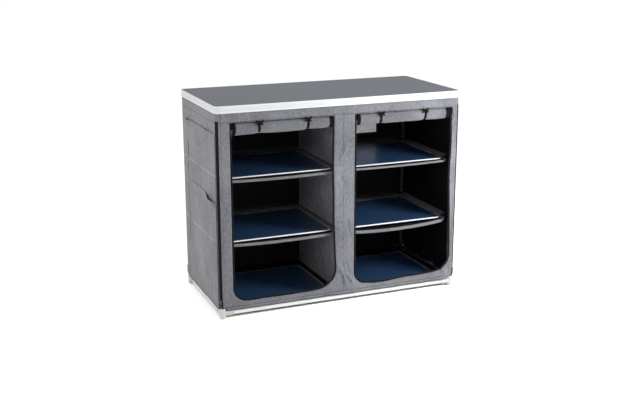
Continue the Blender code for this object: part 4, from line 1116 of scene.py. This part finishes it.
def round_leg(name, sx, sy, heights, steps, radius, look):
    """A tube of cloth round a leg; its radius depends on the turn, on how far inwards it looks and on z."""
    turns = np.linspace(0, math.tau, steps + 1)[:-1]
    points = []
    for z in heights:
        for turn in turns:
            x, y = math.cos(turn), math.sin(turn)
            far = radius(turn, max(0.0, -(sx * x + sy * y) / math.sqrt(2)), z)
            points.append((sx * CORNER_X + far * x, sy * CORNER_Y + far * y, z))
    return piece(name, points, grid_faces(len(heights), steps, closed=True), [look])


def leg_loop(name, side, sy, flat):
    """The webbing loop that hangs a sling's corner on a leg."""
    height = flat + float(sling_height(np.array([CORNER_X]), np.array([sy * SLING_DEPTH]))[0])

    def radius(turn, inner, z):
        return LOOP_R + 0.0016 * inner**2 + 0.0002 * math.cos((z - height) * 300)

    rows = height + np.linspace(-LOOP_HALF, LOOP_HALF, 5)
    made = round_leg(name, side, sy, rows, 24, radius, BLACK_WEB)
    return thicken(made, STRAP_THICK)


def leg_sleeves():
    """Dark sleeves of lining cloth round the legs, between the floor, the slings and the top."""
    stops = [FLOOR_Z + 0.012]
    for level in ("lower", "upper"):
        stops += [SHELF_TOPS[level] - 0.0056, SHELF_TOPS[level] + 0.0097]
    stops.append(BAND_TOP - 0.023)
    for corner, (sx, sy) in CORNERS.items():
        for number in range(3):
            def radius(turn, inner, z, seed=number + sx + 2 * sy):
                fold = noise.noise((3 * math.cos(turn), 3 * math.sin(turn), z * 9 + seed))
                return LEG_R + SLEEVE_LOOSE + inner**1.5 * (0.0050 + 0.0042 * fold)

            low, high = stops[2 * number], stops[2 * number + 1]
            title = f"leg_sleeve_{corner}_{number}"
            made = round_leg(title, sx, sy, np.linspace(low, high, 30), 40, radius, SLEEVE)
            thicken(made, THIN_CLOTH)


DIVIDER_HALF = 0.0005  # of its thickness
DIVIDER_SLACK = 0.0045

# Lines of pulled cloth on the divider
DIVIDER_CREASES = [
    ((0.12, 0.72), (-0.16, 0.56), 0.008, -0.0030),
    ((0.02, 0.74), (-0.20, 0.62), 0.006, 0.0024),
    ((0.16, 0.68), (-0.02, 0.55), 0.010, 0.0020),
    ((0.10, 0.49), (-0.18, 0.33), 0.010, 0.0026),
    ((-0.02, 0.50), (-0.19, 0.42), 0.006, -0.0020),
    ((0.14, 0.26), (-0.10, 0.10), 0.010, -0.0026),
    ((0.16, 0.14), (-0.16, 0.06), 0.008, 0.0022),
]


def divider():
    """The wall between the bays, slack between the slings that are sewn to it."""
    low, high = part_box("divider")
    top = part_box("top_rail_front")[0].z - GAP
    depth, inner_depth = high.y, CORNER_Y - LEG_R - GAP
    loop = [(depth, low.z), (depth, top), (inner_depth, top), (inner_depth, BAND_TOP)]
    loop += [(-y, z) for y, z in reversed(loop)]
    points, faces = flat_sheet([loop], SPACING)
    u, v = points[:, 0], points[:, 1]
    sewn = [FLOOR_Z, SHELF_TOPS["lower"] - 0.006, SHELF_TOPS["upper"] - 0.006, BAND_TOP]
    free = np.zeros(len(u))
    for first, last in zip(sewn, sewn[1:]):
        within = (v > first) & (v <= last)
        free = np.where(within, np.sin(math.pi * np.clip((v - first) / (last - first), 0, 1)) ** 0.6, free)
    free = free * ease((depth - np.abs(u)) / 0.03)
    bulge = slack(u, v, 71.0, DIVIDER_SLACK) + creased(u, v, DIVIDER_CREASES)
    places = np.column_stack((DIVIDER_HALF + bulge * free, u, v))
    made = thicken(piece("bay_divider", places, faces, [DIVIDER]), 2 * DIVIDER_HALF)
    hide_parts("divider")


FLOOR_CORNER = 0.0445  # cut off the floor at each leg


def floor_lining():
    """The cloth floor under the lowest boards, and the piping along its joint with the walls, whose paler
    colour is partly the piping's own and partly a painted highlight along that joint.
    """
    low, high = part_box("floor_cloth")
    xs, ys = high.x, high.y
    loop = [(xs, ys - FLOOR_CORNER), (xs - FLOOR_CORNER, ys)]
    loop += [(-x, y) for x, y in reversed(loop)]
    loop += [(x, -y) for x, y in reversed(loop)]
    points, faces = flat_sheet([loop], SPACING)
    u, v = points[:, 0], points[:, 1]
    beside, before = xs - np.abs(u), ys - np.abs(v)
    dip = -0.0006 * (1 + ripple(u, v, 0.08, 0.08, 5.0)) * ease(before / 0.03 - 1) * ease(beside / 0.03 - 1)
    turned_up = np.maximum(ease(1 - before / PIPING_WIDE), ease(1 - beside / PIPING_WIDE))
    places = np.column_stack((u, v, high.z + dip + PIPING_HIGH * turned_up))
    made = piece("floor_lining", places, faces, [INSIDE, PIPING])
    # Painted highlight: the faces along the side walls take the paler piping cloth
    for face in made.data.polygons:
        face.material_index = int(abs(face.center.x) > xs - PIPING_HIGH)
    thicken(made, high.z - low.z)
    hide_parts("floor_cloth")
    for name, (sx, sy) in CORNERS.items():
        corner_patch(f"floor_patch_{name}", sx, sy, xs, ys, high.z)


def corner_patch(name, sx, sy, xs, ys, low):
    """The floor's corner, lifted over a foot and pierced by its leg."""
    reach = COVER_R - CLOTH - GAP
    x, y = xs - FLOOR_CORNER, ys - FLOOR_CORNER
    loop = [(x, y), (CORNER_X + reach, y), *arc(CORNER_X, CORNER_Y, reach, 0, 90), (x, CORNER_Y + reach)]
    hole = arc(CORNER_X, CORNER_Y, LEG_R + GAP, 0, 360, 28)[:-1]
    points, faces = flat_sheet([loop, hole], 0.004)
    u, v = points[:, 0], points[:, 1]
    away = np.maximum(CORNER_X - u, CORNER_Y - v)
    lift = FOOT_TOP - low - (FOOT_TOP - low - 0.0025) * ease((away - 0.012) / 0.016)
    faces = faces if sx * sy > 0 else [face[::-1] for face in faces]
    made = piece(name, np.column_stack((sx * u, sy * v, low + lift)), faces, [INSIDE])
    return thicken(made, THIN_CLOTH)


POCKET_SLACK, POCKET_FULL = 0.0012, 0.0014

LOWER_MOUTH, MOUTH_OVER = 0.467, 0.010

# Each pocket's distance off the panel, in its middle and at its sewn edges; where its mouth gapes, as shares
# of its width with a spread and a depth; how far the mouth droops, from which share of its width; and a seed
POCKETS = {
    "tall": (0.0030, 0.0015, [(0.09, 0.05, 0.0100), (0.75, 0.14, 0.0030)], -0.002, 0.4, 21.0),
    "short": (0.0050, 0.0026, [(0.86, 0.12, 0.0130), (0.30, 0.2, 0.0012)], 0.018, 0.62, 27.0),
}


def side_pocket(name, front, back, low, top):
    level, sewn_level, gape, droop, start, seed = POCKETS[name]
    points, faces = flat_sheet([rectangle(-back, low, -front, top)], 0.005)
    u, v = points[:, 0], points[:, 1]
    across = (u + back) / (back - front)
    up = np.clip((v - low) / (top - low), 0, 1)
    from_end = np.minimum(across, 1 - across)
    sewn = ease(from_end / 0.05)
    full = POCKET_FULL * np.sin(math.pi * up) * sewn + slack(u, v, seed, POCKET_SLACK) * sewn * ease(up / 0.1)
    open_here = sum(size * np.exp(-(((across - at) / spread) ** 2)) for at, spread, size in gape)
    w = sewn_level + (level - sewn_level) * ease(from_end / 0.09) + np.maximum(full, -0.0002)
    w += open_here * ease((v - top + 0.06) / 0.06) ** 2 * sewn
    drop = droop * np.clip((across - start) / (1 - start), 0, 1) * ease((up - 0.55) / 0.45)
    places = on_cover(u, v - drop, w, CORNER_Y, COVER_X, -90)
    made = thicken(piece(f"pocket_{name}", places, faces, [POCKET, INSIDE]), THIN_CLOTH, 1)
    return made


def side_pockets():
    """Two pockets on the left side: a tall one, and a shorter one over it whose mouth gapes in front."""
    low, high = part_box("side_pockets")
    front, back = -CORNER_Y + 0.0012, high.y
    tall = side_pocket("tall", front, back, low.z, high.z + MOUTH_OVER)
    side_pocket("short", front, back, low.z, LOWER_MOUTH)
    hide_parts("side_pockets")


NET_PITCH, NET_THREAD = 0.0016, 0.00031  # the thread's half thickness
NET_OVER = 0.001  # behind the window's edge
BINDING_OUT, BINDING_THICK = 0.008, 0.0012


def vent():
    """Fine netting in the rear window, with a dark binding round it."""
    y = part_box("vent_net")[0].y + 0.0008
    x0, x1 = WINDOW_LOW.x - NET_OVER, WINDOW_HIGH.x + NET_OVER
    z0, z1 = WINDOW_LOW.z - NET_OVER, WINDOW_HIGH.z + NET_OVER
    upright = [(x, y, (z0 + z1) / 2) for x in np.arange(x0 + NET_PITCH / 2, x1, NET_PITCH)]
    level = [((x0 + x1) / 2, y, z) for z in np.arange(z0 + NET_PITCH / 2, z1, NET_PITCH)]
    along = np.array([(0.0, 0.0, 1.0)] * len(upright) + [(1.0, 0.0, 0.0)] * len(level))
    lengths = np.array([[(z1 - z0) / 2]] * len(upright) + [[(x1 - x0) / 2]] * len(level))
    halves = (lengths, NET_THREAD, NET_THREAD)
    net = blocks("vent_netting", upright + level, along, np.cross(along, FORWARD), FORWARD, halves, NETTING)
    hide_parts("vent_net")

    loops = [rectangle(x0 - out, z0 - out, x1 + out, z1 + out) for out in (BINDING_OUT, -NET_OVER)]
    points, faces = flat_sheet(loops, 0.004)
    places = np.column_stack((points[:, 0], np.full(len(points), y - 0.0007), points[:, 1]))
    binding = thicken(piece("vent_binding", places, faces, [BINDING]), BINDING_THICK)


# Studio

WORLD_LIGHT = 1.06
FLOOR_REACH = 45.0
FLOOR_SHADES = (0.94, 0.96)

# Place, target, size and power
SOFTBOXES = {
    "softbox_left": ((-3.4, -0.3, 1.5), (0.0, 0.0, 0.45), (1.0, 1.0), 72.0),
    "softbox_front": ((-1.3, -3.3, 2.2), (0.0, 0.0, 0.45), (0.6, 0.6), 28.0),
    "softbox_right": ((1.0, -1.1, 1.0), (0.2, -0.2, 0.45), (0.5, 0.5), 50.0),
}


def studio():
    floor_mesh = bpy.data.meshes.new("studio_floor")
    corners = rectangle(-FLOOR_REACH, -FLOOR_REACH, FLOOR_REACH, FLOOR_REACH)
    floor_mesh.from_pydata([(x, y, 0) for x, y in corners], [], [(0, 1, 2, 3)])
    look = Finish("studio_floor", 0.7, specular_ior_level=0.1)
    dim, bright = FLOOR_SHADES
    look.set("Base Color", look.ramp(look.noise((1.5, 1.5, 1.5)), (0.3, dim), (0.7, bright)))
    floor_mesh.materials.append(look.material)
    floor = bpy.data.objects.new("studio_floor", floor_mesh)
    bpy.context.scene.collection.objects.link(floor)
    world = bpy.data.worlds.new("studio")
    world.use_nodes = True
    sky = world.node_tree.nodes["Background"]
    sky.inputs["Color"].default_value = (1.0, 1.0, 1.0, 1.0)
    sky.inputs["Strength"].default_value = WORLD_LIGHT
    bpy.context.scene.world = world
    for name, (place, target, size, power) in SOFTBOXES.items():
        data = bpy.data.lights.new(name, "AREA")
        data.shape = "RECTANGLE"
        data.size, data.size_y = size
        data.energy = power
        lamp = bpy.data.objects.new(name, data)
        lamp.location = place
        lamp.rotation_mode = "QUATERNION"
        lamp.rotation_quaternion = (Vector(target) - Vector(place)).to_track_quat("-Z", "Y")
        lamp.visible_camera = lamp.visible_glossy = False
        bpy.context.scene.collection.objects.link(lamp)
    bpy.context.scene.view_settings.view_transform = "Standard"


def camera():
    data = bpy.data.cameras.new("camera")
    data.sensor_width = SENSOR
    data.lens = FOCAL_PX * SENSOR / IMAGE_WIDTH_PX
    made = bpy.data.objects.new("camera", data)
    azimuth, elevation = math.radians(AZIMUTH), math.radians(ELEVATION)
    level = math.cos(elevation)
    back = Vector((math.sin(azimuth) * level, -math.cos(azimuth) * level, math.sin(elevation)))
    made.location = CAMERA_AT
    made.rotation_mode = "QUATERNION"
    made.rotation_quaternion = (-back).to_track_quat("-Z", "Y")
    bpy.context.scene.collection.objects.link(made)
    bpy.context.scene.camera = made


camera()
studio()
rigid_pieces()
cover()
side_pockets()
for CORNER, (SX, SY) in CORNERS.items():
    corner_zip(CORNER, SX, SY)
for NAME, SIDE in SIDES.items():
    door_roll(NAME, SIDE)
    for WAY in (-1, 1):
        door_tie(NAME, SIDE, WAY)
    for LEVEL in SHELF_TOPS:
        sling(LEVEL, NAME, SIDE)
leg_sleeves()
divider()
floor_lining()
vent()
